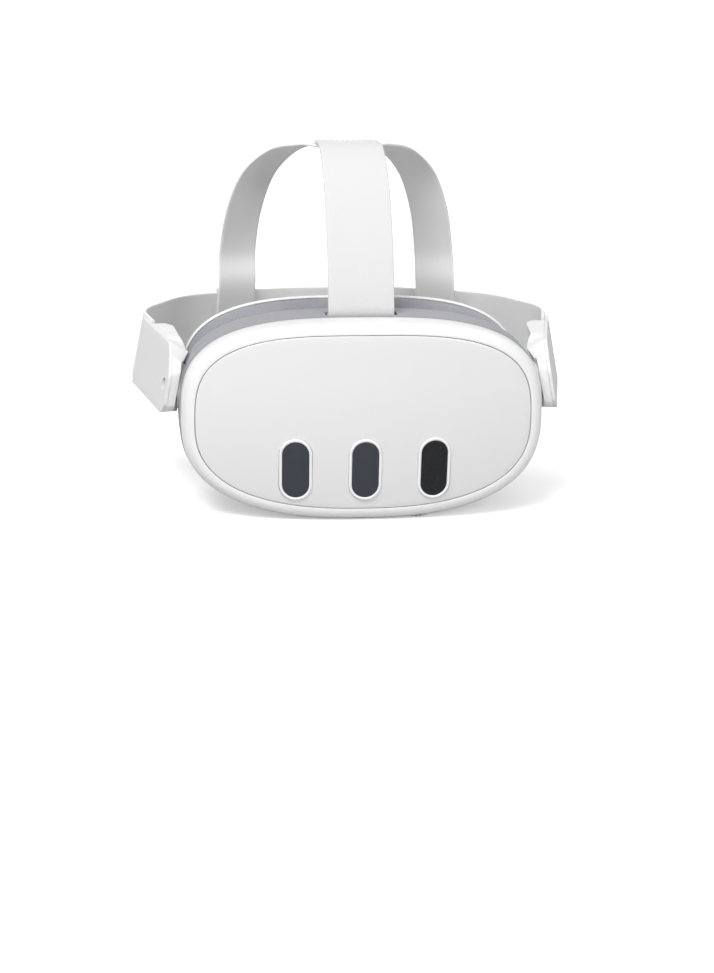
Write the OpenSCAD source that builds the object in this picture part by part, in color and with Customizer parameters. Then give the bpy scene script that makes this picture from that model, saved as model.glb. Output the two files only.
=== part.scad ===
// Head-worn display headset: visor with a glossy faceplate and three sensor windows, a sliding face
// interface, eyepieces moved by a thumbwheel, pivoting side arms and a fabric head strap.
// Every sub-part is modelled from the middle of the faceplate: +X to the wearer's left, +Y back
// towards the face, +Z up. placed() then stands the headset on the flat under its shell.

/* [Visor] */
// Width across the seam round the faceplate
face_w = 173; // [165:1:180]
// Height across the seam round the faceplate
face_h = 90.6; // [86:0.2:95]
// How far the faceplate falls back from its middle to its left and right ends
bulge_x = 10; // [8:0.5:11]
// How far the faceplate falls back from its middle to its top and bottom
bulge_z = 3.5; // [3:0.1:4]
// Width of the shell's rounded rim at the sides
rim_side = 6.8; // [6:0.1:7.5]
// Width of the rim along the top
rim_top = 5.2; // [4.8:0.1:6]
// Width of the rim along the bottom
rim_bottom = 7; // [6.8:0.1:7.4]
// Thickness of the moulded walls
wall = 2.2; // [2:0.1:2.4]
// Depth of the rear edge of the front shell
shell_back = 25.5; // [25:0.1:26]
// Depth of the rear edge of the middle frame
frame_back = 52.5; // [52:0.1:53]

/* [Sensor windows] */
// Distance between neighbouring windows
window_pitch = 35.6; // [34:0.1:37]
// Drop of the windows below the middle
window_drop = 24; // [23:0.5:25]
// Width of the dark glass
window_w = 13.8; // [12:0.1:14]
// Height of the dark glass
window_h = 29.8; // [28:0.1:30]

/* [Eyepieces] */
// Distance between the pupils with the thumbwheel in its middle position
pupil_distance = 64; // [63:0.5:65]
// Height of the lens centres above the middle
eye_rise = 3; // [2:0.5:4]
// Outer radius of a lens barrel
barrel_r = 22; // [21:0.1:22]

/* [Strap] */
// Width of the front top strap
front_strap_w = 34.3; // [32:0.1:36]
// Width of the hoop behind the crown
hoop_w = 22.6; // [20:0.1:24]
// Lower edge of the head band, above the middle of the faceplate
band_low = 0.4; // [0:0.1:1]
// Upper edge of the head band
band_high = 37; // [36:0.5:38]
// Inward lean of the band and arms
lean = 10.6; // [9:0.1:11]

/* [Hidden] */
$fn = 64;

half_w = face_w / 2;
half_h = face_h / 2;
lift = 52;            // height of the faceplate's middle above the rest face
rest_depth = 30;      // depth that stands over the origin
top_n = 3;            // roundness of the outline's upper half: 2 is an ellipse, more is squarer
bottom_n = 2.6;       // and of its lower half
ring_points = 96;
pupil_x = pupil_distance / 2;
tiny = 0.01;

module placed() {
    translate([0, -rest_depth, lift]) children();
}

// A cylinder along Y from depth a to depth b, and one along X from a to b.
module rod_y(r, a, b) {
    translate([0, a, 0]) rotate([-90, 0, 0]) cylinder(r = r, h = b - a);
}

module rod_x(r, a, b) {
    translate([a, 0, 0]) rotate([0, 90, 0]) cylinder(r = r, h = b - a);
}

// A flat shape in X and Z, extruded from depth a to depth b.
module slab_y(a, b) {
    translate([0, b, 0]) rotate([90, 0, 0]) linear_extrude(b - a) children();
}

// A block given by its low corner and its high corner.
module block(low, high) {
    translate(low) cube(high - low);
}

module both_sides() {
    children();
    mirror([1, 0, 0]) children();
}

// ---- Lofted shells ----

function lobe(v, n) = sign(v) * pow(abs(v), 2 / n);

// Rounded outline in X and Z, anticlockwise seen from the front.
function outline(a, top, bottom) = [
    for (i = [0:ring_points - 1])
        let (t = 360 * i / ring_points, n = sin(t) < 0 ? bottom_n : top_n)
            [a * lobe(cos(t), n), (sin(t) < 0 ? bottom : top) * lobe(sin(t), n)]
];

function bulge(x, z) = bulge_x * pow(x / half_w, 2) + bulge_z * pow(z / half_h, 2);

seam = outline(half_w, half_h, half_h);

// Outline that lies share of the way across the rim, then inset by a plain distance.
function rim_outline(share, inset = 0) = outline(
    half_w + share * rim_side - inset,
    half_h + share * rim_top - inset,
    half_h + share * rim_bottom - inset
);

// Ring that follows the faceplate's bulge, back by a distance behind the seam.
function seam_ring(share, inset, back) = [
    for (i = [0:ring_points - 1])
        let (p = rim_outline(share, inset)[i])
            [p[0], bulge(seam[i][0], seam[i][1]) + back, max(p[1], -lift)]
];

// Ring at one depth.
function flat_ring(share, inset, depth) = [
    for (p = rim_outline(share, inset)) [p[0], depth, max(p[1], -lift + inset)]
];

// Skins a stack of rings. A loop of rings closes on itself; any other stack is capped at its ends.
module skin(rings, loop = false) {
    n = len(rings[0]);
    m = len(rings);
    sides = [
        for (j = [0:m - (loop ? 1 : 2)], i = [0:n - 1])
            let (k = (j + 1) % m, h = (i + 1) % n)
                each [[j * n + i, j * n + h, k * n + h], [j * n + i, k * n + h, k * n + i]]
    ];
    caps = loop ? [] : [[for (i = [n - 1:-1:0]) i], [for (i = [0:n - 1]) (m - 1) * n + i]];
    polyhedron([for (r = rings) each r], concat(sides, caps), convexity = 10);
}

// ---- Ribbons ----

function unit(v) = v / norm(v);

// Cross-section of a ribbon at c: w is across its width, t along it.
function section(c, t, w, half_width, half_thick) =
    let (n = unit(cross(t, w)))
        [c + n * half_thick - w * half_width, c + n * half_thick + w * half_width,
         c - n * half_thick + w * half_width, c - n * half_thick - w * half_width];

// Catmull-Rom point between p[i] and p[i + 1].
function spline_at(p, i, u) =
    let (a = p[max(i - 1, 0)], b = p[i], c = p[i + 1], d = p[min(i + 2, len(p) - 1)])
        0.5 * (2 * b + (c - a) * u + (2 * a - 5 * b + 4 * c - d) * u * u
               + (3 * b - a - 3 * c + d) * u * u * u);

function spline(p, steps) = concat(
    [for (i = [0:len(p) - 2], s = [0:steps - 1]) spline_at(p, i, s / steps)], [p[len(p) - 1]]
);

function heading(p, i) = unit(p[min(i + 1, len(p) - 1)] - p[max(i - 1, 0)]);

// Ribbon along path, its width square to the path and as near as can be to the wanted directions.
function ribbon(path, wanted, width, thick) = [
    for (i = [0:len(path) - 1])
        let (t = heading(path, i), w = unit(wanted[i] - t * (wanted[i] * t)))
            section(path[i], t, w, width / 2, thick / 2)
];

// Arc that rounds the corner b between a and c.
function fillet(a, b, c, r, steps) =
    let (u = unit(a - b), v = unit(c - b), half = acos(u * v) / 2,
         middle = b + unit(u + v) * r / sin(half), from = b + u * r / tan(half) - middle,
         to = b + v * r / tan(half) - middle, sweep = 180 - 2 * half)
        [for (s = [0:steps]) middle + (from * sin(sweep * (1 - s / steps))
            + to * sin(sweep * s / steps)) / sin(sweep)];

// Plan of the arms' and band's outer face at half height, for the wearer's left side.
arm_start = [99.6, 25.5];
band_corners = [arm_start, [118, 122], [92, 165], [31, 187.5]];
arm_heading = unit(band_corners[1] - arm_start);
band_middle = (band_low + band_high) / 2;

// Point of the arm's outer face at a depth, on the straight stretch before the first bend.
function arm_point(depth) = arm_start + arm_heading * (depth - arm_start[1]) / arm_heading[1];

side_path = concat(
    fillet(band_corners[0], band_corners[1], band_corners[2], 42, 10),
    fillet(band_corners[1], band_corners[2], band_corners[3], 46, 8),
    fillet(band_corners[2], band_corners[3], [-31, 187.5], 70, 5)
);

function reversed(p) = [for (i = [len(p) - 1:-1:0]) p[i]];
function flipped(p) = [for (q = reversed(p)) [-q[0], q[1]]];

// Section of a band that stands on the plan: out is the offset outwards from the outer face.
function band_section(p, t, out, low, high, thick) =
    let (o = [t[1], -t[0], 0], w = cos(lean) * [0, 0, 1] - sin(lean) * o,
         middle = (low + high) / 2, base = [p[0], p[1], band_middle] + o * out,
         c = base + w * (middle - band_middle) / cos(lean))
        section(c, [t[0], t[1], 0], w, (high - low) / 2 / cos(lean), thick / 2);

function band_sections(path, out, thick) = [
    for (i = [0:len(path) - 1])
        band_section(path[i], heading(path, i), out, band_low, band_high, thick)
];

// ---- Layout ----

pivot = [39.5, 12];        // depth and height of the arms' pivots
hub_r = 11.5;
socket_r = 12;
socket_outer_r = 13;
socket_floor = 84;         // distance of the socket's floor from the middle
pin_r = 3.5;
running = 0.05;            // radial clearance of a running fit
port = [33, 15];           // depth and height of the socket in each arm
jack_r = 1.8;
cover_t = 1.6;
band_t = 1.8;
band_out = -(cover_t + 0.15 + band_t / 2);
hoop_t = 1.6;
arm_back = 86;

window_x = [-window_pitch, 0, window_pitch];
chassis_front = 17;
chassis_back = 18.6;

gear_module = 0.8;
gear_teeth = 12;
gear_r = gear_module * gear_teeth / 2;
pressure_angle = 25;
backlash = 0.08;
gear_front = 20.2;
gear_back = 23.2;
rack_body = 3;
addendum = 0.8 * gear_module;
dedendum = 1.05 * gear_module;
wheel = [28, -40.8];       // X and Z of the thumbwheel's axis
wheel_r = 11;
lower_pitch = wheel[1] + gear_r;
upper_pitch = lower_pitch + 2 * dedendum + rack_body;
idler_z = upper_pitch + gear_r;
top_rack_pitch = idler_z + gear_r;

rod_r = 1.5;
rod_depth = 30;
rod_reach = 26.5;          // rods lie this far above and below the lens centres
barrel_front = 24;
barrel_back = 54;

fan_z = 29.3;
fan_front = 20.5;
fan_back = 26.5;

// ---- Front of the visor ----

// Stands children on the faceplate at each window, facing straight out of its dome.
module at_windows() {
    for (x = window_x)
        translate([x, bulge(x, -window_drop), -window_drop])
            rotate([atan(2 * bulge_z * window_drop / pow(half_h, 2)), 0,
                    atan(2 * bulge_x * x / pow(half_w, 2))])
                children();
}

trim_edge = 1.6;

// Stadium prism made of exact round ends, so that no facets reach the glass.
module stadium(w, h, a, b) {
    for (s = [-1, 1]) translate([0, 0, s * (h - w) / 2]) rod_y(w / 2, a, b);
    block([-w / 2, a, -(h - w) / 2], [w / 2, b, (h - w) / 2]);
}

module front_shell() {
    color("white") difference() {
        skin([
            seam_ring(0, -0.15, 0), seam_ring(0.27, 0, 0.2), seam_ring(0.52, 0, 1),
            seam_ring(0.74, 0, 2.5), seam_ring(0.9, 0, 4.6), seam_ring(1, 0, 7.6),
            flat_ring(1, 0, shell_back), flat_ring(1, wall, shell_back),
            seam_ring(1, wall, 8.4), seam_ring(0.6, wall, 5), seam_ring(0, 3, 4.4),
            seam_ring(0, 3, 2.75), seam_ring(0, -0.15, 2.75)
        ], loop = true);
        // Slots for the thumbwheel and the volume rocker.
        translate([wheel[0], 0, wheel[1]]) rod_y(wheel_r + 0.5, 9.6, 15.6);
        block([-40.2, 9.6, -60], [-19.8, 14.4, -44]);
    }
}

// Rings of the faceplate's front, or of its back when thick is its thickness.
function plate_rings(thick) = [
    for (share = [1, 0.97, 0.9, 0.78, 0.62, 0.44, 0.26, 0.1])
        [for (p = outline((half_w - 0.15) * share, (half_h - 0.15) * share, (half_h - 0.15) * share))
            [p[0], bulge(p[0], p[1]) + thick, p[1]]]
];

module faceplate() {
    color("whitesmoke") difference() {
        skin(concat(reversed(plate_rings(0)), plate_rings(2.5)));
        at_windows() stadium(window_w + 2 * trim_edge + 0.2, window_h + 2 * trim_edge + 0.2, -5, 20);
    }
}

module window_trims() {
    color("white") at_windows() difference() {
        stadium(window_w + 2 * trim_edge, window_h + 2 * trim_edge, -0.6, 4.6);
        stadium(window_w + 0.1, window_h + 0.1, -5, 20);
    }
}

module window_glass() {
    color("#23262c") at_windows() stadium(window_w, window_h, -0.3, 1.3);
}

module camera_modules() {
    color("#16171a") at_windows() {
        block([-6.4, 4.7, -9.2], [6.4, 5.9, 9.2]);
        for (z = [-7.6, 7.6]) translate([0, 0, z]) difference() {
            rod_y(4.6, 1.5, 4.75);
            rod_y(2.6, 1, 3.4);
        }
        block([-5, 5.8, -3], [5, 7.4, 4]);
    }
}

// ---- Middle of the visor ----

module socket_cut(r) {
    both_sides() translate([0, pivot[0], pivot[1]]) rod_x(r, 70, 120);
}

module middle_frame() {
    color("gainsboro") difference() {
        skin([
            flat_ring(1.12, 0.15, shell_back + 0.1), flat_ring(1.12, 0.15, 46),
            flat_ring(1.12, 0.9, 50.2), flat_ring(1.12, 2.2, 52), flat_ring(1.12, 3.4, frame_back),
            flat_ring(1.12, 5, frame_back), flat_ring(1.12, 0.7 + wall, 46),
            flat_ring(1.12, 0.7 + wall, shell_back + 0.1)
        ], loop = true);
        socket_cut(socket_outer_r + 0.15);
        // Slot that the front strap goes down through.
        block([-18.6, 28.6, 40], [18.6, 37.4, 60]);
        // Openings for the face interface's guide tongues.
        for (x = [-48, 48]) {
            block([x - 8.4, 44, 36], [x + 8.4, 60, 41.6]);
        }
    }
}

module arm_socket() {
    color("silver") translate([0, pivot[0], pivot[1]]) difference() {
        rod_x(socket_outer_r, socket_floor - 2, 90.2);
        rod_x(socket_r, socket_floor, 95);
        rod_x(pin_r, 70, 95);
    }
}

module hinge_pin() {
    color("gray") translate([0, pivot[0], pivot[1]]) {
        rod_x(pin_r, 80.5, 92.6);
        rod_x(6, 78.5, 80.5);
    }
}

module chassis() {
    color("dimgray") difference() {
        union() {
            slab_y(chassis_front, chassis_back) difference() {
                polygon(outline(82, 43.5, 44));
                // Windows in the plate for cables and air.
                for (s = [-1, 1]) translate([s * 36, 4]) square([34, 22], center = true);
                translate([0, fan_z]) circle(r = 13);
            }
            // Pin that carries the idler.
            translate([0, 0, idler_z]) rod_y(1.5, chassis_back, gear_back);
            // Posts that hold the guide rods.
            for (x = [-69, 69], z = [-1, 1])
                block([x - 2.5, chassis_back, eye_rise + z * rod_reach - 4],
                      [x + 2.5, rod_depth + 4, eye_rise + z * rod_reach + 4]);
        }
        translate([wheel[0], 0, wheel[1]]) rod_y(2 + running, 10, 30);
        for (z = [-1, 1]) translate([0, rod_depth, eye_rise + z * rod_reach]) rod_x(rod_r + 0.02, -80, 80);
        at_posts() rod_y(1.1, 10, 30);
    }
}

module at_posts() {
    for (x = [-58, 58], z = [-31, 34.6]) translate([x, 0, z]) children();
}

module standoffs() {
    color("silver") at_posts() difference() {
        rod_y(2.4, chassis_back, 49.95);
        rod_y(1.1, 15, 52);
    }
}

module housing_screws() {
    color("gray") at_posts() difference() {
        union() {
            rod_y(1.08, 38, 51);
            rod_y(2.2, 50.9, 51.9);
        }
        translate([0, 52, 0]) rotate([90, 0, 0]) cylinder(r = 1, h = 0.8, $fn = 6);
    }
}

module mainboard() {
    color("darkgreen") {
        slab_y(13.6, 14.8) difference() {
            square([124, 46], center = true);
            translate([0, 14]) circle(r = 6);
        }
        block([-26, 12, -12], [-8, 13.6, 6]);
        block([8, 12.2, -10], [20, 13.6, 2]);
        for (x = [-52, 38]) block([x, 12, -16], [x + 14, 13.6, -10]);
        for (i = [0:5]) block([-50 + i * 5, 12.6, 12], [-47 + i * 5, 13.6, 15]);
    }
}

module battery() {
    color("black") for (x = [-22.5, 22.5]) block([x - 21, 7.4, 8], [x + 21, 12.2, 34]);
}

module heat_sink() {
    color("silver") {
        block([-51, 15, -5], [-21, 19.6, 13]);
        for (i = [0:8]) block([-51 + i * 3.625, 19.5, -5], [-50 + i * 3.625, 23.2, 13]);
    }
}

module fan_frame() {
    color("dimgray") translate([0, 0, fan_z]) {
        difference() {
            rod_y(16, fan_front, fan_back);
            rod_y(15, fan_front - 1, fan_back + 1);
        }
        rod_y(4.6, fan_front, fan_front + 0.8);
        rod_y(1, fan_front + 0.8, fan_back - 1);
        for (a = [0:120:240]) rotate([0, a, 0])
            block([4, fan_front, -1], [15.5, fan_front + 0.8, 1]);
        for (a = [45:90:315]) rotate([0, a, 0])
            block([15.6, fan_front - 1.85, -1.2], [17.2, fan_front + 1, 1.2]);
    }
}

module fan_rotor() {
    color("black") translate([0, 0, fan_z]) difference() {
        union() {
            rod_y(5.6, fan_front + 1.1, fan_back - 0.4);
            for (a = [0:40:320]) rotate([0, a, 0]) translate([9.6, fan_front + 3.3, 0])
                rotate([38, 0, 0]) cube([9.2, 0.5, 5], center = true);
        }
        rod_y(1 + running, 10, fan_back - 0.9);
    }
}

module guide_rods() {
    color("silver") for (z = [-1, 1])
        translate([0, rod_depth, eye_rise + z * rod_reach]) rod_x(rod_r, -72, 72);
}

// Rear wall of the visor, with a long hole for each eyepiece to move in.
module eye_bezel() {
    color("#2b2c30") difference() {
        slab_y(50, 52) difference() {
            polygon(outline(half_w + rim_side - 5.6, half_h + rim_top - 5.6, lift - 5.6));
            for (s = [-1, 1]) translate([s * pupil_x, eye_rise]) {
                for (x = [-4, 4]) translate([x, 0]) circle(r = barrel_r + 0.8);
                square([8, 2 * barrel_r + 1.6], center = true);
            }
            translate([0, 25]) square([7, 4], center = true);
            for (x = [-48, 48]) translate([x, 38.8]) square([17, 6], center = true);
        }
        socket_cut(socket_outer_r + 0.3);
        at_posts() rod_y(1.1, 45, 55);
        at_posts() rod_y(2.3, 50.8, 55);
    }
}

module proximity_sensor() {
    color("black") {
        block([-3.4, 50, 23.1], [3.4, 52.4, 26.9]);
        block([-6, 48.2, 21], [6, 49.9, 29]);
    }
}

module strap_bar() {
    color("silver") {
        translate([0, 33, 45.6]) rod_x(1.5, -21, 21);
        for (x = [-21, 19.4]) block([x, 28.4, 42], [x + 1.6, 37.6, 47.4]);
    }
}

rocker = [-30, -46.4];     // X and Z of the volume rocker's pivot
rocker_tilt = 4.5;         // it lies along the rounded edge

module volume_rocker() {
    color("whitesmoke") translate([rocker[0], 0, rocker[1]]) rotate([0, rocker_tilt, 0]) difference() {
        union() {
            block([-9.6, 9.9, -4.55], [9.6, 14.1, -1.8]);
            rod_y(2, 9.9, 14.1);
            block([-1.6, 9.9, -1.9], [1.6, 14.1, 0]);
        }
        rod_y(0.9, 0, 30);
    }
}

// ---- Eyepieces and the drive that sets the distance between them ----

module barrel() {
    color("#202125") translate([pupil_x, 0, eye_rise]) difference() {
        union() {
            rod_y(barrel_r, barrel_front, barrel_back);
            for (z = [-1, 1]) translate([0, rod_depth, z * rod_reach]) {
                rod_x(3.6, -9, 9);
                block([-9, -3.6, z > 0 ? -6 : 0], [9, 3.6, z > 0 ? 0 : 6]);
            }
        }
        rod_y(barrel_r - 2, 20, 60);
        for (z = [-1, 1]) translate([0, rod_depth, z * rod_reach]) rod_x(rod_r + running, -10, 10);
    }
}

// Thick lens with a rounded face towards the eye.
module lens() {
    color("lightblue") translate([pupil_x, 0, eye_rise]) intersection() {
        rod_y(barrel_r - 2.05, 40, 54.5);
        translate([0, -4.5, 0]) sphere(r = 57.5, $fn = 96);
    }
}

module display() {
    color("#101418") translate([pupil_x, 0, eye_rise]) {
        block([-13.6, 25, -13.6], [13.6, 26.6, 13.6]);
        rod_y(barrel_r - 2.05, 26.6, 28);
    }
}

function involute(a) = tan(a) * 180 / PI - a;

// Half the angle of a tooth at radius r.
function tooth_half(r) =
    let (base = gear_r * cos(pressure_angle), a = r > base ? acos(base / r) : 0)
        90 / gear_teeth - backlash * 90 / (PI * gear_r)
        + involute(pressure_angle) - involute(a);

module gear_outline() {
    root = gear_r - dedendum;
    tip = gear_r + addendum;
    radii = [for (s = [0:5]) gear_r * cos(pressure_angle) + (tip - gear_r * cos(pressure_angle)) * s / 5];
    flank = [for (r = radii) [r, tooth_half(r)]];
    tooth = concat([[root, flank[0][1]]], flank);
    polygon([
        for (k = [0:gear_teeth - 1])
            let (middle = 90 - 360 * k / gear_teeth)
                each concat(
                    [for (q = tooth) q[0] * [cos(middle + q[1]), sin(middle + q[1])]],
                    [for (q = reversed(tooth)) q[0] * [cos(middle - q[1]), sin(middle - q[1])]]
                )
    ]);
}

module gear(bore) {
    difference() {
        slab_y(gear_front, gear_back) gear_outline();
        rod_y(bore, 10, 30);
    }
}

// Rack teeth pointing up from a body whose top is the root line; spaces lie at space + k pitches.
module rack_teeth(from, to, space) {
    pitch = PI * gear_module;
    slope = tan(pressure_angle);
    for (k = [ceil((from - space) / pitch):floor((to - space) / pitch) - 1]) {
        x = space + (k + 0.5) * pitch;
        foot = pitch / 4 - backlash / 2 + dedendum * slope;
        tip = pitch / 4 - backlash / 2 - addendum * slope;
        polygon([[x - foot, -0.2], [x - foot, 0], [x - tip, addendum + dedendum],
                 [x + tip, addendum + dedendum], [x + foot, 0], [x + foot, -0.2]]);
    }
}

module left_rack() {
    root = lower_pitch + dedendum;
    color("silver") slab_y(gear_front, gear_back) {
        translate([-12, root]) square([62, rack_body]);
        translate([0, root]) mirror([0, 1]) rack_teeth(14, 42, wheel[0]);
        translate([0, root + rack_body]) rack_teeth(-12, 12, 0);
        translate([46, root + rack_body - tiny]) square([4, eye_rise - 11 - root - rack_body]);
    }
    color("silver") block([46, gear_back - tiny, -12.6], [50, barrel_front - tiny, -8.6]);
}

module right_rack() {
    root = top_rack_pitch + dedendum;
    color("silver") slab_y(gear_front, gear_back) {
        translate([-36, root]) square([50, rack_body]);
        translate([0, root]) mirror([0, 1]) rack_teeth(-12, 13, 0);
    }
    color("silver") block([-36, gear_back - tiny, root], [-28, barrel_front - tiny, root + rack_body]);
}

module ipd_wheel() {
    color("gray") translate([wheel[0], 0, wheel[1]]) {
        difference() {
            rod_y(wheel_r, 10, 15);
            // Grip grooves.
            for (a = [0:12:348]) rotate([0, a, 0])
                block([wheel_r - 0.45, 9, -0.5], [wheel_r + 1, 16, 0.5]);
        }
        rod_y(2, 15, gear_back + 1.2);
    }
}

module ipd_pinion() {
    color("goldenrod") translate([wheel[0], 0, wheel[1]]) gear(2);
}

module ipd_idler() {
    color("goldenrod") translate([0, 0, idler_z]) gear(1.5 + running);
}

// ---- Face interface ----

interface_front = 52.9;
cushion_front = 62.6;

// Prism that leaves room for the nose.
module nose_cut(w, h, a, b) {
    slab_y(a, b) hull() {
        translate([0, -60]) square([w * 1.5, 1], center = true);
        translate([0, -52 + h - w * 0.32]) circle(r = w * 0.32, $fn = 32);
        translate([0, -48]) square([w * 1.25, 1], center = true);
    }
}

module interface_frame() {
    color("darkgray") difference() {
        union() {
            skin([
                flat_ring(1, 5, interface_front), flat_ring(1, 3.4, interface_front + 0.4),
                flat_ring(1, 2.6, interface_front + 2.6), flat_ring(1, 2.4, cushion_front - 0.3),
                flat_ring(1, 10.4, cushion_front - 0.3), flat_ring(1, 9.4, interface_front)
            ], loop = true);
            // Tongues that slide in the visor.
            for (x = [-48, 48]) block([x - 8, 45, 36.4], [x + 8, interface_front + 1, 41.2]);
        }
        nose_cut(36, 26, 50, 70);
        both_sides() translate([0, 57.8, -18]) rod_x(2.7, 70, 85.4);
    }
}

// Depth of the cushion's rear face: the temples reach further back than the brow.
function cushion_back(x) = 80.5 + 4 * pow(x / 91, 2);

// Ring of the cushion; brow raises its top edge above the visor's outline.
function cushion_ring(inset, share, brow = 2.4) = [
    for (p = rim_outline(1, inset))
        [p[0], cushion_front + (cushion_back(p[0]) - cushion_front) * share,
         max(p[1] * (p[1] > 0 ? 1 + brow / half_h : 1), -lift + inset)]
];

module face_cushion() {
    color("#8e8e99") difference() {
        skin([
            cushion_ring(3.6, 0, 0.6), cushion_ring(2.4, 0.15, 1.4), cushion_ring(2, 0.5),
            cushion_ring(2.2, 0.86), cushion_ring(4.4, 1), cushion_ring(9, 1.02),
            cushion_ring(13.4, 0.84), cushion_ring(14, 0.5), cushion_ring(12.6, 0.15),
            cushion_ring(11, 0)
        ], loop = true);
        nose_cut(33, 24, 50, 100);
    }
}

module nose_flap() {
    color("#3a3b40") difference() {
        nose_cut(33.8, 25.2, 54, 59);
        nose_cut(31, 22.6, 53, 60);
        block([-60, 50, -80], [60, 62, -lift + 3]);
    }
}

module depth_button() {
    color("silver") translate([0, 57.8, -18]) {
        rod_x(2.62, 78, 82.4);
        rod_x(1.6, 82.4, 84.2);
    }
}

// ---- Side arms ----

// Height limits of the arm's rounded front end at a depth.
function nose_low(depth) = band_low + 5 * pow(max(0, 1 - (depth - arm_start[1]) / 6), 2.2);
function nose_high(depth) = band_high - 1.6 - 15 * pow(max(0, 1 - (depth - arm_start[1]) / 14), 2);

arm_depths = [25.5, 26, 27, 28.5, 30.5, 33, 36, 39.5];

function cover_section(depth, out, thick) =
    band_section(arm_point(depth), arm_heading, out, nose_low(depth), nose_high(depth), thick);

module cover_blank() {
    skin([for (d = concat(arm_depths, [60, 98, 101])) cover_section(d, -cover_t / 2, cover_t)]);
}

// Thickness of the arm's body under the cover.
function arm_thick(depth) = 4.4 + 5.2 * min(1, (depth - arm_start[1]) / 50);

// Point of the arm at a depth and height, out from its outer face.
function arm_at(depth, height, out) =
    let (p = arm_point(depth), o = [arm_heading[1], -arm_heading[0], 0],
         w = cos(lean) * [0, 0, 1] - sin(lean) * o)
        [p[0], p[1], band_middle] + o * out + w * (height - band_middle) / cos(lean);

// Half width of the middle frame's outside at a height above the middle.
function frame_side(z) =
    (half_w + 1.12 * rim_side - 0.15)
    * pow(1 - pow(max(0, z) / (half_h + 1.12 * rim_top - 0.15), top_n), 1 / top_n);

function eased(u) = let (v = max(0, min(1, u))) v * v * (3 - 2 * v);

// Share of the shoulder that the arm has at a depth. The shoulder fills the space beside the visor.
function shoulder(depth) = eased((depth - 28) / 5) * eased((50 - depth) / 6);

shoulder_gap = 0.7;        // clearance between the shoulder and the middle frame
shoulder_drop = 5.4;       // its inner edge lies this far below the arm's top
tilt_most = 20;

// Point of the arm's inner face: clear of the middle frame even when the arm is tilted.
function arm_inner(depth, height, out) =
    let (plain = arm_at(depth, height, out),
         lowest = height - abs(depth + 1.5 - pivot[0]) * sin(tilt_most)
             - max(0, height - pivot[1]) * (1 - cos(tilt_most)),
         more = max(0, plain[0] - frame_side(lowest) - shoulder_gap) * shoulder(depth))
        arm_at(depth, height, out - more / arm_heading[1]);

function body_ring(depth, thick) =
    let (low = nose_low(depth), high = nose_high(depth), out = -cover_t - 0.1,
         inner_high = high - shoulder_drop * shoulder(depth))
        concat([arm_at(depth, low, out), arm_at(depth, high, out)],
               [for (k = [0:5]) arm_inner(depth, inner_high + (low - inner_high) * k / 5, out - thick)]);

module arm_blank() {
    skin([for (d = concat([for (k = arm_depths) k + 0.6], [43, 46, 49, 52, 66, 76, 83, arm_back]))
        body_ring(d, arm_thick(d) * (d > 80 ? 1 - 0.05 * (d - 80) : 1))]);
}

// Frame that lies in the arm's outer face, at a depth: X runs along the arm, Y up it, Z outwards.
module on_arm(depth, height) {
    translate([arm_point(depth)[0], depth, band_middle])
        rotate([0, 0, atan2(arm_heading[1], arm_heading[0])])
            rotate([90 - lean, 0, 0]) translate([0, height, 0]) children();
}

module arm_body() {
    difference() {
        union() {
            arm_blank();
            translate([0, pivot[0], pivot[1]]) rod_x(hub_r, socket_floor + 0.6, 95);
        }
        translate([0, pivot[0], pivot[1]]) rod_x(pin_r + running, 70, 93.2);
        // Pocket for the speaker, and a slot that lets its sound down to the ear.
        on_arm(68, 0) translate([-10.5, -13.5, -9.2]) cube([21, 27, 9.4]);
        on_arm(68, 0) for (i = [-2:2]) translate([i * 3.6 - 0.7, -30, -6.6]) cube([1.4, 20, 2]);
    }
}

module speaker() {
    color("black") on_arm(68, 0) {
        translate([-9, -12, -8.6]) cube([18, 24, 2.4]);
        translate([0, 3, -6.2]) cylinder(r = 8, h = 2.4);
        translate([0, 3, -3.8]) cylinder(r = 5, h = 0.8);
    }
}

port_x = arm_point(port[0])[0];

module left_arm() {
    color("white") difference() {
        arm_body();
        translate([0, port[0], port[1]]) stadium_x(3.4, 9.4, 88, 120);
        translate([102.7, 58, 0]) block([-2.9, -5.5, -5], [2.9, 5.5, 5]);
    }
}

// Upright stadium prism along X.
module stadium_x(w, h, a, b) {
    for (s = [-1, 1]) translate([0, 0, s * (h - w) / 2]) rod_x(w / 2, a, b);
    block([a, -w / 2, -(h - w) / 2], [b, w / 2, (h - w) / 2]);
}

module left_arm_cover() {
    color("#ececec") difference() {
        cover_blank();
        translate([0, port[0], port[1]]) stadium_x(3.8, 9.8, 88, 120);
    }
}

module usb_socket() {
    color("silver") translate([0, port[0], port[1]]) {
        difference() {
            stadium_x(3.3, 9.2, 90.4, 99);
            stadium_x(2.7, 8.6, 91.2, 100);
        }
        block([91.2, -0.35, -3.3], [98, 0.35, 3.3]);
    }
}

module power_button() {
    color("whitesmoke") translate([102.7, 58, 0]) {
        block([-2.6, -5.2, -0.4], [2.6, 5.2, 2.2]);
        block([-1.4, -2, 2.2], [1.4, 2, 3.6]);
    }
}

module right_arm() {
    color("white") mirror([1, 0, 0]) difference() {
        arm_body();
        translate([0, port[0], port[1]]) rod_x(3, 70, 120);
    }
}

module right_arm_cover() {
    color("#ececec") mirror([1, 0, 0]) difference() {
        cover_blank();
        translate([0, port[0], port[1]]) rod_x(3.1, 70, 120);
    }
}

module audio_jack() {
    color("#2a2a2c") mirror([1, 0, 0]) translate([0, port[0], port[1]]) difference() {
        rod_x(2.95, 85.2, 100.6);
        rod_x(jack_r, 86.6, 110);
    }
}

// ---- Head strap ----

band_front = 88;   // depth where the fabric starts, inside the arm covers

module head_band() {
    full = concat([arm_point(band_front)], side_path, flipped(side_path),
                  [[-arm_point(band_front)[0], band_front]]);
    color("lightgray") skin(band_sections(full, band_out, band_t));
}

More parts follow.
